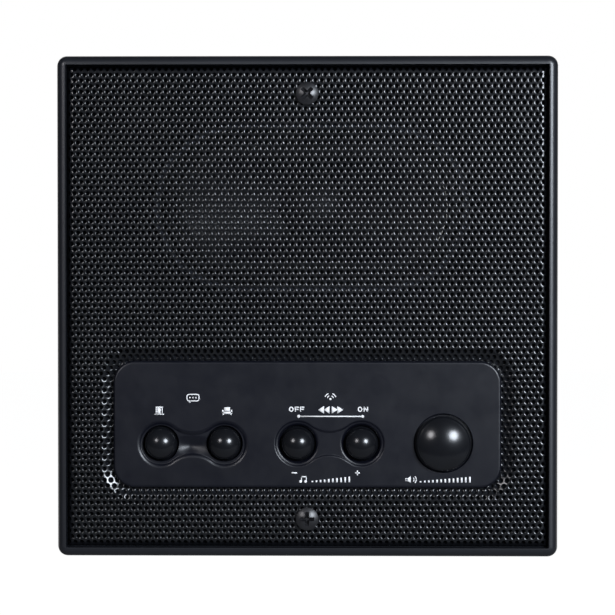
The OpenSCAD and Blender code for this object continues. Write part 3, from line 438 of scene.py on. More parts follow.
def panelDistance(x, z):
    # Distance outside the control panel's outline, a rectangle with round corners; negative inside it
    low, high = boxOf("control_panel")
    centre, half, r = centreOf("control_panel"), (high - low) / 2, panel["cornerR"]
    dx = np.abs(x - centre[0]) - (half[0] - r)
    dz = np.abs(z - centre[2]) - (half[2] - r)
    outside = np.hypot(np.maximum(dx, 0), np.maximum(dz, 0))
    return outside + np.minimum(np.maximum(dx, dz), 0) - r


def grilleSheet(u, v, below, s):
    # Place of the point u, v of the flat pattern at a depth under the face. Past the flat half the sheet
    # follows a quarter circle and then runs straight back. Near the panel it falls by a softened step
    low, high = boxOf("speaker_grille")
    flat = high[0] - s["bendR"]
    face = -low[1]
    panFace = backOf("speaker_grille") + s["thickness"]

    def bend(w):  # the angle is the length past the flat half / the bend's radius, up to a quarter turn
        past = np.maximum(np.abs(w) - flat, 0)
        turn = np.minimum(past / s["bendR"], math.pi / 2)
        straight = np.maximum(past - s["bendR"] * math.pi / 2, 0)
        side = np.sign(w) * (np.minimum(np.abs(w), flat) + (s["bendR"] - below) * np.sin(turn))
        drop = s["bendR"] - (s["bendR"] - below) * np.cos(turn) + straight
        return side, drop

    x, dropX = bend(u)
    z, dropZ = bend(v)
    out = (panelDistance(x, z) - s["border"]) / s["slopeW"]
    height = face - (face - panFace) * (1 - softStep(out, s["slopeSoft"])) - np.maximum(dropX, dropZ)
    return np.stack([x, -height, z], -1)


def unitVectors(v):
    # v / |v|
    return v / np.maximum(np.linalg.norm(v, axis=-1, keepdims=True), tiny)


def makeGrille(s):
    # A hexagon round each hole has 12 points on its border, joined to 12 on the hole's edge. A cell's rings
    # are border and edge at the back, edge at the front, start of the drawn slope, and border at the front
    half = boxOf("speaker_grille")[1][0]
    depth = faceOf("speaker_grille") - backOf("speaker_grille")
    reach = half - s["bendR"] + s["bendR"] * math.pi / 2 + depth - s["bendR"]
    apothem = s["pitch"] / 2
    rowPitch = s["pitch"] * math.sqrt(3) / 2
    rows = np.arange(-1, int(2 * reach / rowPitch) + 2)
    columns = np.arange(-2, int(2 * reach / s["pitch"]) + 3)
    u0 = s["firstX"] + s["pitch"] * (columns[None, :] + 0.5 * (rows[:, None] % 2))
    v0 = np.broadcast_to((s["firstZ"] - rowPitch * rows)[:, None], u0.shape)
    row = np.broadcast_to(rows[:, None], u0.shape)
    kept = (np.maximum(np.abs(u0), np.abs(v0)) < reach - apothem / 2) & (panelDistance(u0, v0) > -s["lap"])
    u0, v0, row = u0[kept], v0[kept], row[kept]
    near, nearRow = s["nearShare"] * s["pitch"], apothem / 2
    angle = 2 * math.pi * np.arange(s["sides"]) / s["sides"]
    border = np.where(np.arange(s["sides"]) % 2, apothem / math.cos(math.pi / 6), apothem)[None]
    margin = s["holeR"] + s["cutMargin"]
    holed = (np.maximum(np.abs(u0), np.abs(v0)) + margin < reach)[:, None]  # cut cells stay closed
    hole = np.where(holed, s["holeR"], 0)
    slope = np.where(holed, s["holeR"] + s["rimW"], s["stubShare"] * s["holeR"])
    drop = np.where(holed, s["rimDrop"], 0)
    points = []
    thick = s["thickness"]
    for radius, below in ((border, thick), (hole, thick), (hole, drop), (slope, 0), (border, 0)):
        u, v = u0[:, None] + radius * np.cos(angle), v0[:, None] + radius * np.sin(angle)
        if radius is border:  # the outermost cells are drawn out to the end of the sheet
            u = np.where(u > u0.max() - near, reach, np.where(u < u0.min() + near, -reach, u))
            v = np.where(v > v0.max() + nearRow, reach, np.where(v < v0.min() - nearRow, -reach, v))
        points.append(grilleSheet(u, v, below, s))
    points = np.stack(points, 1)  # cell, ring, corner, xyz
    step = s["probe"]
    front = unitVectors(np.cross(grilleSheet(u + step, v, 0, s) - grilleSheet(u - step, v, 0, s),
        grilleSheet(u, v + step, 0, s) - grilleSheet(u, v - step, 0, s)))
    inward = np.stack([-np.cos(angle), 0 * angle, -np.sin(angle)], -1)[None] + 0 * front
    tilt = np.where(holed, math.radians(s["rimTilt"]), 0)[..., None]
    drawn = unitVectors(front * np.cos(tilt) + inward * np.sin(tilt))
    ends = [(-front, -front), (inward, inward), (drawn, front), (front, front)]  # normals of each band's ends
    size, bandCount = s["sides"], len(ends)
    corner = np.arange(size)
    after = (corner + 1) % size
    ring = size * np.arange(bandCount)[:, None]
    bands = np.stack([ring + after, ring + corner, ring + size + corner, ring + size + after], -1)
    facing = np.stack([np.stack([a[:, after], a[:, corner], b[:, corner], b[:, after]], 2)
        for a, b in ends], 1)
    names = ["grilleUpper", "grilleMiddle", "grilleLower"]
    for name, chosen in zip(names, np.array_split(np.argsort(row, kind="stable"), len(names))):
        starts = (bandCount + 1) * size * np.arange(len(chosen))[:, None]
        quads = (bands.reshape(-1, 4) + starts[..., None]).reshape(-1, 4)
        cellPoints, cellFacing = points[chosen].reshape(-1, 3), facing[chosen].reshape(-1, 4, 3)
        # Border edges that only one cell has are the end of the sheet or of the piece, and get a wall
        cell = np.round(cellPoints / cellSize).astype(np.int64)
        keys = np.unique(cell, axis=0, return_inverse=True)[1].reshape(-1)
        first, second = (bandCount * size + end + starts for end in (corner, after))
        pair = np.sort(np.stack([keys[first], keys[second]], -1).reshape(-1, 2), axis=1)
        index, uses = np.unique(pair, axis=0, return_inverse=True, return_counts=True)[1:]
        lone = (uses[index.reshape(-1)] == 1) & (pair[:, 0] != pair[:, 1])
        a, b = first.reshape(-1)[lone], second.reshape(-1)[lone]
        backA, backB = a - bandCount * size, b - bandCount * size
        out = unitVectors(np.cross(cellPoints[backA] - cellPoints[a], cellPoints[b] - cellPoints[a]))
        quads = np.concatenate([quads, np.stack([b, a, backA, backB], -1)])
        cellFacing = np.concatenate([cellFacing, np.repeat(out[:, None], 4, axis=1)]).reshape(-1, 3)
        *parts, loops = welded(cellPoints, quads)
        mesh = newMesh(name, *parts)
        mesh.normals_split_custom_set(cellFacing[loops].astype(np.float32))
        makePiece(name, mesh, "station", "grille_paint", ["speaker_grille"], sharpAngle=0)
    print("grille made:", len(u0), "cells,", int(holed.sum()), "holes")


# Control panel. Round each button the panel is a star of points: rows of rings that go from the button's hole
# over the recess to a rectangle, and a half recess ends at the middle line of its pair

panel = {
    **sizes(cornerR=8, edgeR=1.0, edgeLand=0.2, edgeFlat=5, holeR=6.6, holeBevel=0.12, spacing=0.8,
        fineSpan=1.6, pastEdge=(0.1, 0.4), nearEdge=(0.03, 0.1, 0.25, 0.45), onLine=0.01, thickness=2.6,
        wellR=10.7, wellDepth=1.6, wellRim=0.3, wellLand=0.45, bushHoleR=3.95, bossR=2.5, bossPilotR=1.25,
        bossInset=6.6, bossFoot=5.6, bossRoot=0.3, bossHollow=1.4),
    "rings": 14, "fineRings": 30, "fineShare": 0.8, "cornerSteps": 16, "sideSteps": 12, "edgeSteps": 10,
    "rimSteps": 9, "footSteps": 6, "bossSteps": 32,
    "trough": {
        **sizes(lobeR=8.9, waist=5.0, drop=0.3, depth=0.65, edgeR=2.2, footR=0.5, saddle=1.15, turnX=-0.8,
            reachLeft=4.4, reachRight=6.6, soft=0.9, saddleDrop=0.45, side=3.7),
        "lean": 40, "blend": 0.1},
    "dishes": {
        **sizes(lobeR=8.75, waist=4.85, drop=0, stepDepth=0.4, stepEdgeR=0.95, stepFootR=0.25, dishR=7.85,
            dishDepth=1.2, dishEdgeR=1.1, dishFootR=0.3),
        "stepLean": 42, "dishLean": 62}}


def softStep(t, e):
    # Rises from 0 to 1 while t does, along a line whose ends are rounded by hyperbolas of size e
    return (np.sqrt(t * t + e * e) - np.sqrt((t - 1) ** 2 + e * e) + 1) / 2


def roundedWall(inside, depth, lean, edgeR, footR):
    # Depth at a distance inside an outline: an arc over the edge, a leaning wall, and an arc at its foot
    lean = math.radians(lean)
    sine, fall = math.sin(lean), 1 - math.cos(lean)
    edgeEnd = edgeR * sine
    footStart = edgeEnd + (depth - (edgeR + footR) * fall) / math.tan(lean)
    footEnd = footStart + footR * sine
    d = np.clip(inside, 0, footEnd)
    edge = edgeR - np.sqrt(np.maximum(edgeR ** 2 - d ** 2, 0))
    wall = edgeR * fall + (d - edgeEnd) * math.tan(lean)
    foot = depth - footR + np.sqrt(np.maximum(footR ** 2 - (footEnd - d) ** 2, 0))
    return np.where(d < edgeEnd, edge, np.where(d < footStart, wall, foot))


def hollowRadius(half, s):
    # The waist's hollow side is the circle that touches the lobe and passes the waist at its half width
    return (half ** 2 + s["waist"] ** 2 - s["lobeR"] ** 2) / (2 * (s["lobeR"] - s["waist"]))


def insideOutline(x, z, half, s):
    # Distance inside the outline of two lobes and their waist; negative outside
    x, z = np.abs(x), np.abs(z)
    hollow = hollowRadius(half, s)
    top = s["waist"] + hollow
    inWaist = x / half + z / top < 1
    return np.where(inWaist, np.hypot(x, z - top) - hollow, s["lobeR"] - np.hypot(x - half, z))


def troughDepth(x, z, half, s):
    # A shallow hollow for both buttons, and a saddle between them. The saddle deepens in a straight line from
    # each side, softened at its start and its turn, and its section is (1 - ((z + drop) / side)^2)^2
    past = x - s["turnX"]
    reach = np.where(past < 0, s["reachLeft"], s["reachRight"])
    line = 1 - (np.hypot(past, s["soft"]) - s["soft"]) / reach
    part = (line + np.hypot(line, s["blend"])) / 2
    section = np.clip(1 - ((z + s["saddleDrop"]) / s["side"]) ** 2, 0, 1) ** 2
    return (roundedWall(insideOutline(x, z, half, s), s["depth"], s["lean"], s["edgeR"], s["footR"])
        + s["saddle"] * part * section)


def dishDepth(x, z, half, s):
    # A shallow step along the outline, and a deeper round dish with a steep wall at each button
    away = np.minimum(np.hypot(x - half, z), np.hypot(x + half, z))
    inside = insideOutline(x, z, half, s)
    return (roundedWall(inside, s["stepDepth"], s["stepLean"], s["stepEdgeR"], s["stepFootR"])
        + roundedWall(s["dishR"] - away, s["dishDepth"], s["dishLean"], s["dishEdgeR"], s["dishFootR"]))


def outlineReach(a, half, s):
    # Distance along a, on the side -x, from a button's centre to the recess's outline or the middle line
    hollow = hollowRadius(half, s)
    top = s["waist"] + hollow
    along = -half * np.cos(a) + top * np.abs(np.sin(a))
    inner = along ** 2 - s["lobeR"] * (s["lobeR"] + 2 * hollow)
    toHollow = np.where(inner > 0, along - np.sqrt(np.maximum(inner, 0)), 1)
    toMiddle = half / np.maximum(-np.cos(a), tiny)
    towardsWaist = -np.cos(a) > half / math.hypot(half, top)
    return np.where(towardsWaist, np.minimum(toHollow, toMiddle), s["lobeR"])


def rectanglePoints(xs, zsLeft, zsRight):
    # The border of a rectangle, anticlockwise, through the given places along its sides
    right = np.stack([0 * zsRight + xs[-1], zsRight], -1)
    top = np.stack([xs[::-1], 0 * xs + zsRight[-1]], -1)
    left = np.stack([0 * zsLeft + xs[0], zsLeft[::-1]], -1)
    bottom = np.stack([xs, 0 * xs + zsLeft[0]], -1)
    return np.concatenate([right[:-1], top[:-1], left[:-1], bottom[:-1]])


def starDirections(centre, border, side):
    # Directions and distances from a centre to the border's points. Side -1 turns left and right round
    away = (border - centre) * (side, 1)
    a = np.arctan2(away[:, 1], away[:, 0])
    order = np.argsort(a)
    return a[order], np.hypot(*away[order].T)


def starZone(centre, side, a, rings, heights):
    # Ring k has its points at the distances rings[k] along the directions a
    x = centre[0] + side * rings * np.cos(a)
    z = centre[1] + rings * np.sin(a)
    return grid(np.stack([x, -heights, z], -1), flip=side > 0)


def halfRecess(button, side, border, depthOf, half, recess, s):
    # From the hole over the recess, across its edge and out to the zone's border. The recess's middle lies a
    # little below the button, and the hole's circle is seen from there
    face, drop = faceOf("control_panel"), recess["drop"]
    middle = button - (0, drop)
    a, border = starDirections(middle, border, side)
    outline = np.minimum(outlineReach(a, half, recess), border)
    hole = drop * np.sin(a) + np.sqrt(s["holeR"] ** 2 - (drop * np.cos(a)) ** 2)
    inner = hole + s["holeBevel"]
    fine = outline - np.minimum(s["fineSpan"], s["fineShare"] * (outline - inner))
    t, u = np.linspace(0, 1, s["rings"])[:-1, None], np.linspace(0, 1, s["fineRings"])[:, None]
    over = [np.minimum(outline + gap, border) for gap in s["pastEdge"]]
    rings = np.concatenate([inner + (fine - inner) * t, fine + (outline - fine) * u, over, [border]])
    x = half + rings * np.cos(a)
    depth = depthOf(side * x, rings * np.sin(a), half, recess)
    depth[-1] = np.where(x[-1] > s["onLine"], 0, depth[-1])  # only the middle line crosses the recess
    heights = face - depth
    rings = np.concatenate([[border, hole, hole], rings])
    back = hole * 0 + face - s["thickness"]
    heights = np.concatenate([[back, back, heights[0] - s["holeBevel"]], heights])
    return starZone(middle, side, a, rings, heights)


def wellZone(centre, border, s):
    # The knob's well: hole, flat floor, steep wall with a rounded rim, then flat to the zone's border
    face, back = faceOf("control_panel"), faceOf("control_panel") - s["thickness"]
    a, border = starDirections(centre, border, 1)
    floor, r, rim, land = face - s["wellDepth"], s["wellR"], s["wellRim"], s["wellLand"]
    low = arc(r - rim, floor + rim, rim, -90, 0, s["footSteps"])
    high = arc(r + rim, face - rim, rim, 180, 90, s["rimSteps"])
    profile = np.concatenate([[(s["bushHoleR"], back), (s["bushHoleR"], floor), (r - land, floor)], low, high,
        [(r + land, face)]])
    rings = np.concatenate([[border], np.repeat(profile[:, :1], len(a), axis=1), [border]])
    heights = np.concatenate([[back], profile[:, 1], [face]])[:, None] + 0 * rings
    return starZone(centre, 1, a, rings, heights)


def stitched(inner, outer, middle, height, flip=False):
    # Fills the flat strip between two closed loops round a middle. Both are put in the order of their
    # direction from it, and each edge of one loop goes to the point that the other loop has reached there
    loops, turns = [], []
    for loop in (inner, outer):
        turn = np.arctan2(*(loop - middle).T[::-1])
        loops.append(loop[np.argsort(turn)])
        turns.append(np.sort(turn))
    n, m = len(inner), len(outer)
    i, j = np.arange(n), np.arange(m)
    reachedOuter = (np.searchsorted(turns[1], turns[0][(i + 1) % n], "left") - 1) % m + n
    reachedInner = (np.searchsorted(turns[0], turns[1][(j + 1) % m], "right") - 1) % n
    faces = np.concatenate([np.stack([i, reachedOuter, (i + 1) % n, (i + 1) % n], -1),
        np.stack([n + j, n + (j + 1) % m, reachedInner, reachedInner], -1)])
    flat = np.concatenate(loops)
    points = np.stack([flat[:, 0], np.full(n + m, -height), flat[:, 1]], -1)
    return points, faces[:, [2, 1, 0, 0]] if flip else faces


def makePanel(s):
    # Zones round the five holes, the flat strip and the rounded edge round them, the back, and four bosses
    low, high = boxOf("control_panel")
    centre, width, height = centreOf("control_panel"), high[0] - low[0], high[2] - low[2]
    face, back = faceOf("control_panel"), faceOf("control_panel") - s["thickness"]
    door, room, down, up, knobAt = (centreOf(node) for node in
        ("door_button", "room_button", "volume_down_button", "volume_up_button", "volume_knob"))
    half, trough, dishes = (room[0] - door[0]) / 2, s["trough"], s["dishes"]
    flat = s["edgeFlat"]
    left, right, bottom, top = low[0] + flat, high[0] - flat, low[2] + flat, high[2] - flat
    # The zones' borders: the middle line of each pair, and a line between each two of pair, pair and knob
    breaks = [left, door[0] + half, (room[0] + down[0]) / 2, down[0] + half,
        (up[0] + dishes["lobeR"] + knobAt[0] - s["wellR"]) / 2, right]
    across = [np.linspace(a, b, int((b - a) / s["spacing"]) + 2) for a, b in zip(breaks[:-1], breaks[1:])]
    plain = np.linspace(bottom, top, int((top - bottom) / s["spacing"]) + 2)
    # A pair's middle line crosses its recess, and has more points near the two edges there
    near = np.concatenate([np.linspace(-s["fineSpan"], 0, s["rings"]), s["nearEdge"]])
    lines = [np.unique(np.concatenate([plain] + [door[2] - recess["drop"] + side * (recess["waist"] + near)
        for side in (-1, 1)])) for recess in (trough, dishes)]
    levels = [plain, lines[0], plain, lines[1], plain, plain]
    borders = [rectanglePoints(*sides) for sides in zip(across, levels[:-1], levels[1:])]
    path, normals = roundRectPath(width, height, s["cornerR"], s["cornerSteps"], s["sideSteps"])
    r = s["edgeR"]
    edge = arc(-r, face - r, r, 90, 0, s["edgeSteps"])
    profile = np.concatenate([[(-r - s["edgeLand"], face)], edge, [(0, back)]])
    inner = rectanglePoints(np.unique(np.concatenate(across)), plain, plain)
    middle = centre[::2]
    zones = [
        halfRecess(door[::2], -1, borders[0], troughDepth, half, trough, s),
        halfRecess(room[::2], 1, borders[1], troughDepth, half, trough, s),
        halfRecess(down[::2], -1, borders[2], dishDepth, half, dishes, s),
        halfRecess(up[::2], 1, borders[3], dishDepth, half, dishes, s),
        wellZone(knobAt[::2], borders[4], s),
        stitched(inner, middle + path + normals * profile[0][0], middle, face),
        carried(path, normals, profile, centre),
        stitched(inner, middle + path, middle, back, flip=True),
    ]
    end, root = back + s["bossHollow"], back + s["bossRoot"]
    boss = [(0, end), (s["bossPilotR"], end), (s["bossPilotR"], s["bossFoot"]), (s["bossR"], s["bossFoot"]),
        (s["bossR"], root), (0, root)]
    inset = np.array([width / 2 - s["bossInset"], 0, height / 2 - s["bossInset"]])
    zones += [turned(centre + inset * (sx, 0, sz), boss, s["bossSteps"]) for sx in (-1, 1) for sz in (-1, 1)]
    makePiece("controlPanel", joined(zones), "station", "panel_plastic", ["control_panel"])
    print("control panel made")


# Buttons and knob, turned round their own axes

button = {
    **sizes(domeR=7.1, domeOut=4.9, bodyR=5.7, foot=0.97, flangeR=7.9, flangeFront=8.3, flangeBack=7.3,
        hollowR=5.1, crown=3.2, stemR=2.0),
    "flankLean": 84, "domeSteps": 18, "flankSteps": 14, "steps": 72}
knob = {
    **sizes(domeR=18, domeOut=8.85, bodyR=10, rimDrop=0.04, rimRound=1.67, foot=0.2, wall=1.5, roof=3.0,
        hubR=4.5, hubEnd=2.4, shaftR=3.0, grip=3.4),
    "rimStart": 20, "domeSteps": 24, "rimSteps": 14, "sharpAngle": 24}


def domePoints(top, radius, reach, steps):
    # Sphere of the given radius: height = top - (R - sqrt(R^2 - r^2)), for r from 0 to the reach
    r = reach * np.sin(np.linspace(0, math.pi / 2, steps))
    return np.stack([r, top - radius + np.sqrt(radius ** 2 - r ** 2)], -1)


def makeButton(node, body, name, s):
    # The dome goes over into a rounder flank, an arc from the dome's last slope to the flank's lean. A
    # slanting foot leads to the flange, and a stem stands in the hollow behind
    top, stemBack = faceOf(node), backOf(node)
    dome = domePoints(top, s["domeR"], s["domeOut"], s["domeSteps"])
    start, end = math.asin(s["domeOut"] / s["domeR"]), math.radians(s["flankLean"])
    flankR = (s["bodyR"] - s["domeOut"]) / (math.sin(end) - math.sin(start))
    flank = arc(s["domeOut"] - flankR * math.sin(start), dome[-1][1] - flankR * math.cos(start), flankR,
        90 - math.degrees(start), 90 - s["flankLean"], s["flankSteps"])
    hollow = top - s["crown"]
    profile = np.concatenate([dome, flank[1:], [(s["bodyR"], s["flangeFront"] + s["foot"]),
        (s["bodyR"] + s["foot"], s["flangeFront"]), (s["flangeR"], s["flangeFront"]),
        (s["flangeR"], s["flangeBack"]), (s["hollowR"], s["flangeBack"]), (s["hollowR"], hollow),
        (s["stemR"], hollow), (s["stemR"], stemBack), (0, stemBack)]])
    makePiece(name, turned(centreOf(node), profile, s["steps"]), body, "button_plastic", [node])


def makeKnob(s):
    # Dome, a fine step, a rounded shoulder and the straight side. The shaft's hole is in a hub behind
    top, bottom, r, foot = faceOf("volume_knob"), backOf("volume_knob"), s["bodyR"], s["foot"]
    dome = domePoints(top, s["domeR"], s["domeOut"], s["domeSteps"])
    rimTop, rim = dome[-1][1] - s["rimDrop"], s["rimRound"]
    shoulder = arc(r - rim, rimTop - rim, rim, 90 - s["rimStart"], 0, s["rimSteps"])
    inner, roof, hub = r - s["wall"], bottom + s["roof"], bottom + s["hubEnd"]
    profile = np.concatenate([dome, [(s["domeOut"] + s["rimDrop"], rimTop)], shoulder,
        [(r, bottom + foot), (r - foot, bottom), (inner, bottom), (inner, roof), (s["hubR"], roof),
        (s["hubR"], hub), (s["shaftR"], hub), (s["shaftR"], hub + s["grip"]), (0, hub + s["grip"])]])
    shape = turned(centreOf("volume_knob"), profile)
    makePiece("volumeKnob", shape, "knob", "button_plastic", ["volume_knob"], sharpAngle=s["sharpAngle"])
    print("knob made")


# Loudspeaker pieces between the fixed basket and the cone that moves. The roll's inner wall reaches a little
# past the cone's edge, so that the glued lip, which rides on the cone, moves inside it, and the damper keeps
# clear of the neck

surround = {
    **sizes(land=3.2, rollR=2.5, innerR=2.23, thickness=0.4, skirt=0.85, lipIn=4.5, lipOut=2.5),
    "cornerSteps": 40, "rollSteps": 33}
damper = {
    **sizes(innerR=10.26, flatR=12.6, seatR=21.4, thickness=0.4, flatT=0.34, step=0.2, waveH=0.6),
    "waves": 3, "waveSteps": 24}


def makeSurround(s):
    # Half roll: out = r cos a, height = r sin a, with a smaller r towards the cone, so that its edge is free
    low, high = boxOf("cone_surround")
    centre, outer, base = centreOf("cone_surround"), (high[2] - low[2]) / 2, backOf("cone_surround")
    middle = outer - s["land"] - s["rollR"]
    straight = (high[0] - low[0]) / 2 - outer
    path, normals = roundRectPath(2 * (straight + middle), 2 * middle, middle, s["cornerSteps"])
    t, land = s["thickness"] / 2, outer - middle
    a = np.radians(np.linspace(180, 0, s["rollSteps"]))

    def roll(move):  # half a sheet's thickness outwards or inwards
        reach = np.where(a > math.pi / 2, s["innerR"], s["rollR"]) + move
        return np.stack([reach * np.cos(a), np.sin(a) * (s["rollR"] + move)], -1)

    front, behind = roll(t), roll(-t)
    front = front[(front[:, 0] < 0) | (front[:, 1] > 2 * t)]
    inner, innerBack = -s["innerR"] - t, -s["innerR"] + t
    profile = np.concatenate([[(inner, -s["skirt"])], front, [(land, 2 * t), (land, 0)], behind[::-1],
        [(innerBack, -s["skirt"]), (inner, -s["skirt"])]]) + (0, base)
    makePiece("coneSurround", carried(path, normals, profile, centre), "station", "surround_rubber",
        ["cone_surround"])
    lip = np.array([(-s["lipIn"], 2 * t), (-s["lipOut"], 2 * t), (-s["lipOut"], 0), (-s["lipIn"], 0),
        (-s["lipIn"], 2 * t)]) + (0, base)
    makePiece("surroundLip", carried(path, normals, lip, centre), "cone", "surround_rubber")


def makeDamper(s):
    # Flat inner ring, waves of height = waveH / 2 (1 - cos(2 pi waves t)) for t from 0 to 1, then a flat seat
    low, high = boxOf("damper")
    outer, base = (high[0] - low[0]) / 2, backOf("damper")
    t = np.linspace(0, 1, s["waveSteps"] * s["waves"] + 1)
    r = s["flatR"] + (s["seatR"] - s["flatR"]) * t
    rise = s["waveH"] / 2 * (1 - np.cos(2 * math.pi * s["waves"] * t)) + base
    front = np.stack([r, rise + s["thickness"]], -1)
    behind = np.stack([r, rise], -1)[::-1]
    flat, top = base + s["flatT"], base + s["thickness"]
    profile = np.concatenate([[(s["innerR"], base), (s["innerR"], flat), (s["flatR"] - s["step"], flat)],
        front, [(outer, top), (outer, base)], behind, [(s["innerR"], base)]])
    makePiece("damperDisc", turned(centreOf("damper"), profile), "station", "damper_cloth", ["damper"])
    print("surround and damper made")


# Mounting screws: domed head with a cross recess, plain shank, cut thread and point

screw = {
    **sizes(headR=4.1, crown=1.1, crossLength=2.6, crossWidth=0.68, crossDepth=2.1, crossBevel=0.08,
        under=10.2, shankR=1.825, shankCap=0.15, threadR=2.08, threadDepth=0.4, pitch=0.794, tip=4.16,
        tipR=0.4),
    "crossTaper": 0.3, "turnTop": 45, "turnLow": 0, "headSteps": 64, "faceSteps": 12, "turnSteps": 28,
    "pitchSteps": 8}


def crossReach(a, s):
    # Distance from the middle to the outline of a cross with arms of half width w and length l
    c, d = np.abs(np.cos(a)), np.abs(np.sin(a))
    along, across = np.maximum(c, d), np.minimum(c, d)
    return np.where(across * s["crossLength"] < along * s["crossWidth"],
        s["crossLength"] / along, s["crossWidth"] / np.maximum(across, tiny))


def screwHead(centre, turn, s):
    # The directions go round the head and through the corners of the cross, which is turned in the head
    w, l = s["crossWidth"], s["crossLength"]
    corners = [math.atan2(sz * z, sx * x) for x, z in ((l, w), (w, w), (w, l)) for sx in (-1, 1)
        for sz in (-1, 1)]
    steps = np.linspace(-math.pi, math.pi, s["headSteps"], endpoint=False)
    a = np.unique(np.round(np.concatenate([steps, corners]), 6))
    cross, out = crossReach(a, s), np.full_like(a, s["headR"])
    a = a + math.radians(turn)
    sphere = (s["headR"] ** 2 + s["crown"] ** 2) / (2 * s["crown"])
    top = faceOf("mounting_screws")

    def dome(r):  # height of the head's sphere
        return top - sphere + np.sqrt(sphere ** 2 - r ** 2)

    rimR = np.minimum(cross + s["crossBevel"], s["headR"])
    t = np.linspace(0, 1, s["faceSteps"])[:, None]
    face = rimR + (out - rimR) * np.sin(t * math.pi / 2)
    zero = 0 * a
    shank, low, under = zero + s["shankR"], zero + top - s["crossDepth"], zero + s["under"]
    rings = np.concatenate([[zero, cross * s["crossTaper"], cross], face, [out, shank, shank, zero]])
    heights = np.concatenate([[low, low, dome(rimR) - s["crossBevel"]], dome(face),
        [under, under, zero, zero]])
    return starZone(centre[::2], 1, a, rings, heights)


def screwThread(centre, s):
    # Radius of a turned rod: threadR - depth * saw, where saw is 0 on the crest and 1 in the root of a V that
    # climbs one pitch a turn. The point narrows in a straight line
    angles = np.linspace(0, 2 * math.pi, s["turnSteps"], endpoint=False)
    end = backOf("mounting_screws")
    rows = int(-end / s["pitch"] * s["pitchSteps"])
    h = np.linspace(0, end, rows)[:, None]
    saw = np.abs(((h / s["pitch"] - angles / (2 * math.pi)) % 1) * 2 - 1)
    narrow = np.clip((h - end) / s["tip"], 0, 1)
    turns = -h / s["pitch"]
    grown = np.clip(turns, 0, 1)  # the first turn grows out of the shank
    cut = s["threadDepth"] * saw * np.minimum(narrow * 2, 1) * grown
    r = s["tipR"] + (s["threadR"] - s["tipR"]) * narrow - cut
    r = np.minimum(r, s["shankR"] + (s["threadR"] - s["shankR"]) * np.clip(turns * 4, 0, 1))
    x, z = centre[0] + r * np.cos(angles), centre[2] + r * np.sin(angles)
    body = grid(np.stack([x, np.broadcast_to(-h, x.shape), z], -1), flip=True)
    cap = turned(centre, [(0, s["shankCap"]), (s["shankR"], 0)], s["turnSteps"])
    point = turned(centre, [(s["tipR"], end), (0, end)], s["turnSteps"])
    return joined([cap, body, point])


def makeScrews(s):
    # One screw above and one below, each with the turn of its own cross
    middle, reach = centreOf("mounting_screws"), boxOf("mounting_screws")[1][2] - s["headR"]
    shapes = []
    for side, turn in ((-1, s["turnLow"]), (1, s["turnTop"])):
        centre = np.array([middle[0], 0, middle[2] + side * (reach - middle[2])])
        shapes += [screwHead(centre, turn, s), screwThread(centre, s)]
    makePiece("mountingScrews", joined(shapes), "station", "screw_black", ["mounting_screws"], sharpAngle=30)
    print("mounting screws made")


# Legends, printed in white just over the face of the panel. ON and OFF stand in letters, the rest are plain
# signs. All is in millimetres, and each sign is drawn round its place: bars (x, z, width, height), arrows (x
# and z of the foot, length, height), dots (x, z, radius), arcs (x, z, radius, first and last angle, steps),
# lines through points, outlines that close, and rising bars (x of the first, count). A sign may have its own
# width of line

legend = {"lift": 0.02, "film": 0.03, "stroke": 0.4, "letterW": 1.7, "letterH": 1.9, "letterGap": 0.42,
    "tuck": 0.2, "line": 0.36, "mitre": 0.4, "dotSteps": 20, "barW": 0.62, "barPitch": 1.5, "barFoot": -1.05,
    "barLow": 0.5, "barHigh": 2.1}
words = {"OFF": (-3.7, -37.6), "ON": (20.4, -37.6)}
signs = {
    "speechBubble": {"at": (-41.8, -33.6), "outlines": [roundRectPath(4.4, 2.4, 0.8, 5)[0] + (0, 0.2)],
        "arrows": [(-0.9, -1.3, -0.9, 0.9)], "dots": [(x, 0.2, 0.27) for x in (-1.1, 0, 1.1)]},
    "door": {"at": (-54.2, -38.2), "lines": [[(-1.1, -1.3), (-1.1, 1.3), (1.1, 1.3), (1.1, -1.3)]],
        "bars": [(-0.1, -0.15, 1.3, 2.3), (0, -1.3, 3.6, 0.34)]},
    "armchair": {"at": (-29.3, -38.2), "bars": [(0, 0.55, 2.2, 1.5), (0, -0.72, 3.6, 0.75),
        (-1.6, -0.25, 0.55, 1.2), (1.6, -0.25, 0.55, 1.2), (-1.4, -1.3, 0.4, 0.5), (1.4, -1.3, 0.4, 0.5)]},
    "senderWaves": {"at": (8.5, -33.3), "dots": [(0, -0.55, 0.42)],
        "arcs": [(0, -0.55, r, start, start + 50, 10) for r in (1.2, 2.1) for start in (20, 110)]},
    "arrowLine": {"at": (8.6, -40.2), "bars": [(0, 0, 23.4, 0.42)],
        "dots": [(side * 11.7, 0, 0.55) for side in (-1, 1)],
        "arrows": [(side * foot, 2.4, side * 2.2, 2.8) for side in (-1, 1) for foot in (0.4, 2.4)]},
    "minus": {"at": (-4.7, -60.9), "bars": [(0, 0, 2.0, 0.48)]},
    "plus": {"at": (18.4, -60.9), "bars": [(0, 0, 1.75, 0.48), (0, 0, 0.48, 1.75)]},
    "notes": {"at": (6.9, -63.3), "dots": [(-9.3, -0.75, 0.52), (-7.5, -0.75, 0.52)], "rising": (-5.0, 10),
        "bars": [(-9.0, 0.2, 0.3, 1.9), (-7.2, 0.2, 0.3, 1.9), (-8.1, 0.98, 2.1, 0.45)]},
    "loudspeaker": {"at": (47.9, -63.3), "bars": [(-11.6, 0, 0.9, 1.0)], "arrows": [(-10.0, 0, -2.0, 2.4)],
        "arcs": [(-9.8, 0, r, -42, 42, 12) for r in (1.0, 1.8)], "line": 0.32, "rising": (-6.4, 13)},
}


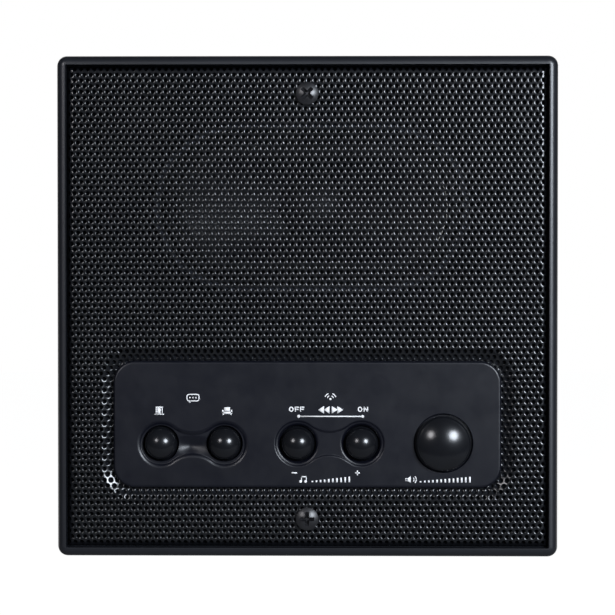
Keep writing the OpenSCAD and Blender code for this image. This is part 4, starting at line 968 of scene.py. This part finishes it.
def stroke(points, width, closed=False):
    # A line of even width: each point moves half the width / cosine to both sides, midway between the normals
    # of its two directions. The cosine is that of the angle between the move and a normal
    p = np.array(points, float)
    ahead = np.roll(p, -1, axis=0) - p
    behind = p - np.roll(p, 1, axis=0)
    if not closed:
        ahead[-1], behind[0] = behind[-1], ahead[0]
    ahead /= np.linalg.norm(ahead, axis=1)[:, None]
    behind /= np.linalg.norm(behind, axis=1)[:, None]
    across = np.stack([-(ahead + behind)[:, 1], (ahead + behind)[:, 0]], -1)
    across /= np.linalg.norm(across, axis=1)[:, None]
    cosine = (across * np.stack([-ahead[:, 1], ahead[:, 0]], -1)).sum(1)
    move = across * (width / 2 / np.maximum(cosine, legend["mitre"]))[:, None]
    return flatGrid(np.stack([p + move, p - move]), closed)


def flatGrid(rows, closed):
    # Rows of (x, z) points on the legend's plane
    y = np.full(rows.shape[:2], -(faceOf("control_panel") + legend["lift"] * mm))
    return grid(np.stack([rows[..., 0] * mm, y, rows[..., 1] * mm], -1), closed, flip=True)


def dot(x, z, r):
    # A disk: quads from the points of a circle to its middle
    rim = arc(x, z, r, 0, 360, legend["dotSteps"] + 1)[:-1]
    return flatGrid(np.stack([rim, rim * 0 + (x, z)]), True)


def bar(x, z, width, height):
    # A rectangle round its middle
    w, h = width / 2, height / 2
    return flatGrid(np.array([[(x - w, z + h), (x + w, z + h)], [(x - w, z - h), (x + w, z - h)]]), False)


def arrow(x, z, width, height):
    # A triangle that points towards +x, or towards -x where the width is negative
    rows = np.array([[(x, z + height / 2), (x + width, z)], [(x, z - height / 2), (x + width, z)]])
    return flatGrid(rows if width > 0 else rows[::-1], False)


def letterShapes(letter, x, z, s):
    # O is an ellipse of even width, F has three bars, N has two uprights and a slanting line
    w, h, t = s["letterW"], s["letterH"], s["stroke"]
    side = (w - t) / 2
    if letter == "O":
        return [stroke(arc(0, 0, 1, 0, 360, 29)[:-1] * (side, (h - t) / 2) + (x, z), t, True)]
    if letter == "F":
        return [bar(x - side, z, t, h), bar(x + t / 4, z + (h - t) / 2, w - t, t), bar(x, z, w - t * 1.5, t)]
    slant = [(-side, h / 2 - t / 3), (side, t / 3 - h / 2)]
    lines = [[(-side, -h / 2), (-side, h / 2)], [(side, -h / 2), (side, h / 2)], slant]
    return [stroke(np.array(line) + (x, z), t) for line in lines]


def signShapes(sign, s):
    # Each shape lies at the sign's place + its own x and z
    place, line = np.array(sign["at"]), sign.get("line", s["line"])
    shapes = []
    for kind, draw in (("bars", bar), ("arrows", arrow), ("dots", dot)):
        shapes += [draw(*(place + values[:2]), *values[2:]) for values in sign.get(kind, [])]
    shapes += [stroke(place + points, line) for points in sign.get("lines", [])]
    shapes += [stroke(place + points, line, True) for points in sign.get("outlines", [])]
    shapes += [stroke(place + arc(*values), line) for values in sign.get("arcs", [])]
    start, count = sign.get("rising", (0, 0))
    for k, height in enumerate(np.linspace(s["barLow"], s["barHigh"], count)):
        foot = place + (start + k * s["barPitch"], s["barFoot"])
        shapes.append(bar(foot[0], foot[1] + height / 2, s["barW"], height))
    return shapes


def makeLegends(s):
    # A word's letters stand one step apart round its middle, and a second F is tucked in a little
    step = s["letterW"] + s["letterGap"]
    shapes = []
    for word, (x, z) in words.items():
        for k, letter in enumerate(word):
            tuck = s["tuck"] if word[:k + 1].endswith("FF") else 0
            shapes += letterShapes(letter, x + (k - (len(word) - 1) / 2) * step - tuck, z, s)
    for sign in signs.values():
        shapes += signShapes(sign, s)
    piece = makePiece("legends", joined(shapes), "station", "plunger_plastic", sharpAngle=0,
        material=materials["legendInk"])
    film = piece.modifiers.new("film", "SOLIDIFY")
    film.thickness, film.offset = s["film"] * mm, -1
    print("legends made")


def dressCadNodes():
    # Each CAD node takes the material of its slot in the record. It shows where no piece replaces the node
    for part in frame["record"]["subparts"]:
        mesh = cadNodes[part["node"]].data
        mesh.materials.clear()
        mesh.materials.append(materialOf(part["material_slot"]))


makeGrille(grille)
makePanel(panel)
for key, name in (("door", "doorButton"), ("room", "roomButton"), ("volume_down", "volumeDownButton"),
        ("volume_up", "volumeUpButton")):
    makeButton(key + "_button", key + "_key", name, button)
makeKnob(knob)
makeSurround(surround)
makeDamper(damper)
makeScrews(screw)
makeLegends(legend)
dressCadNodes()
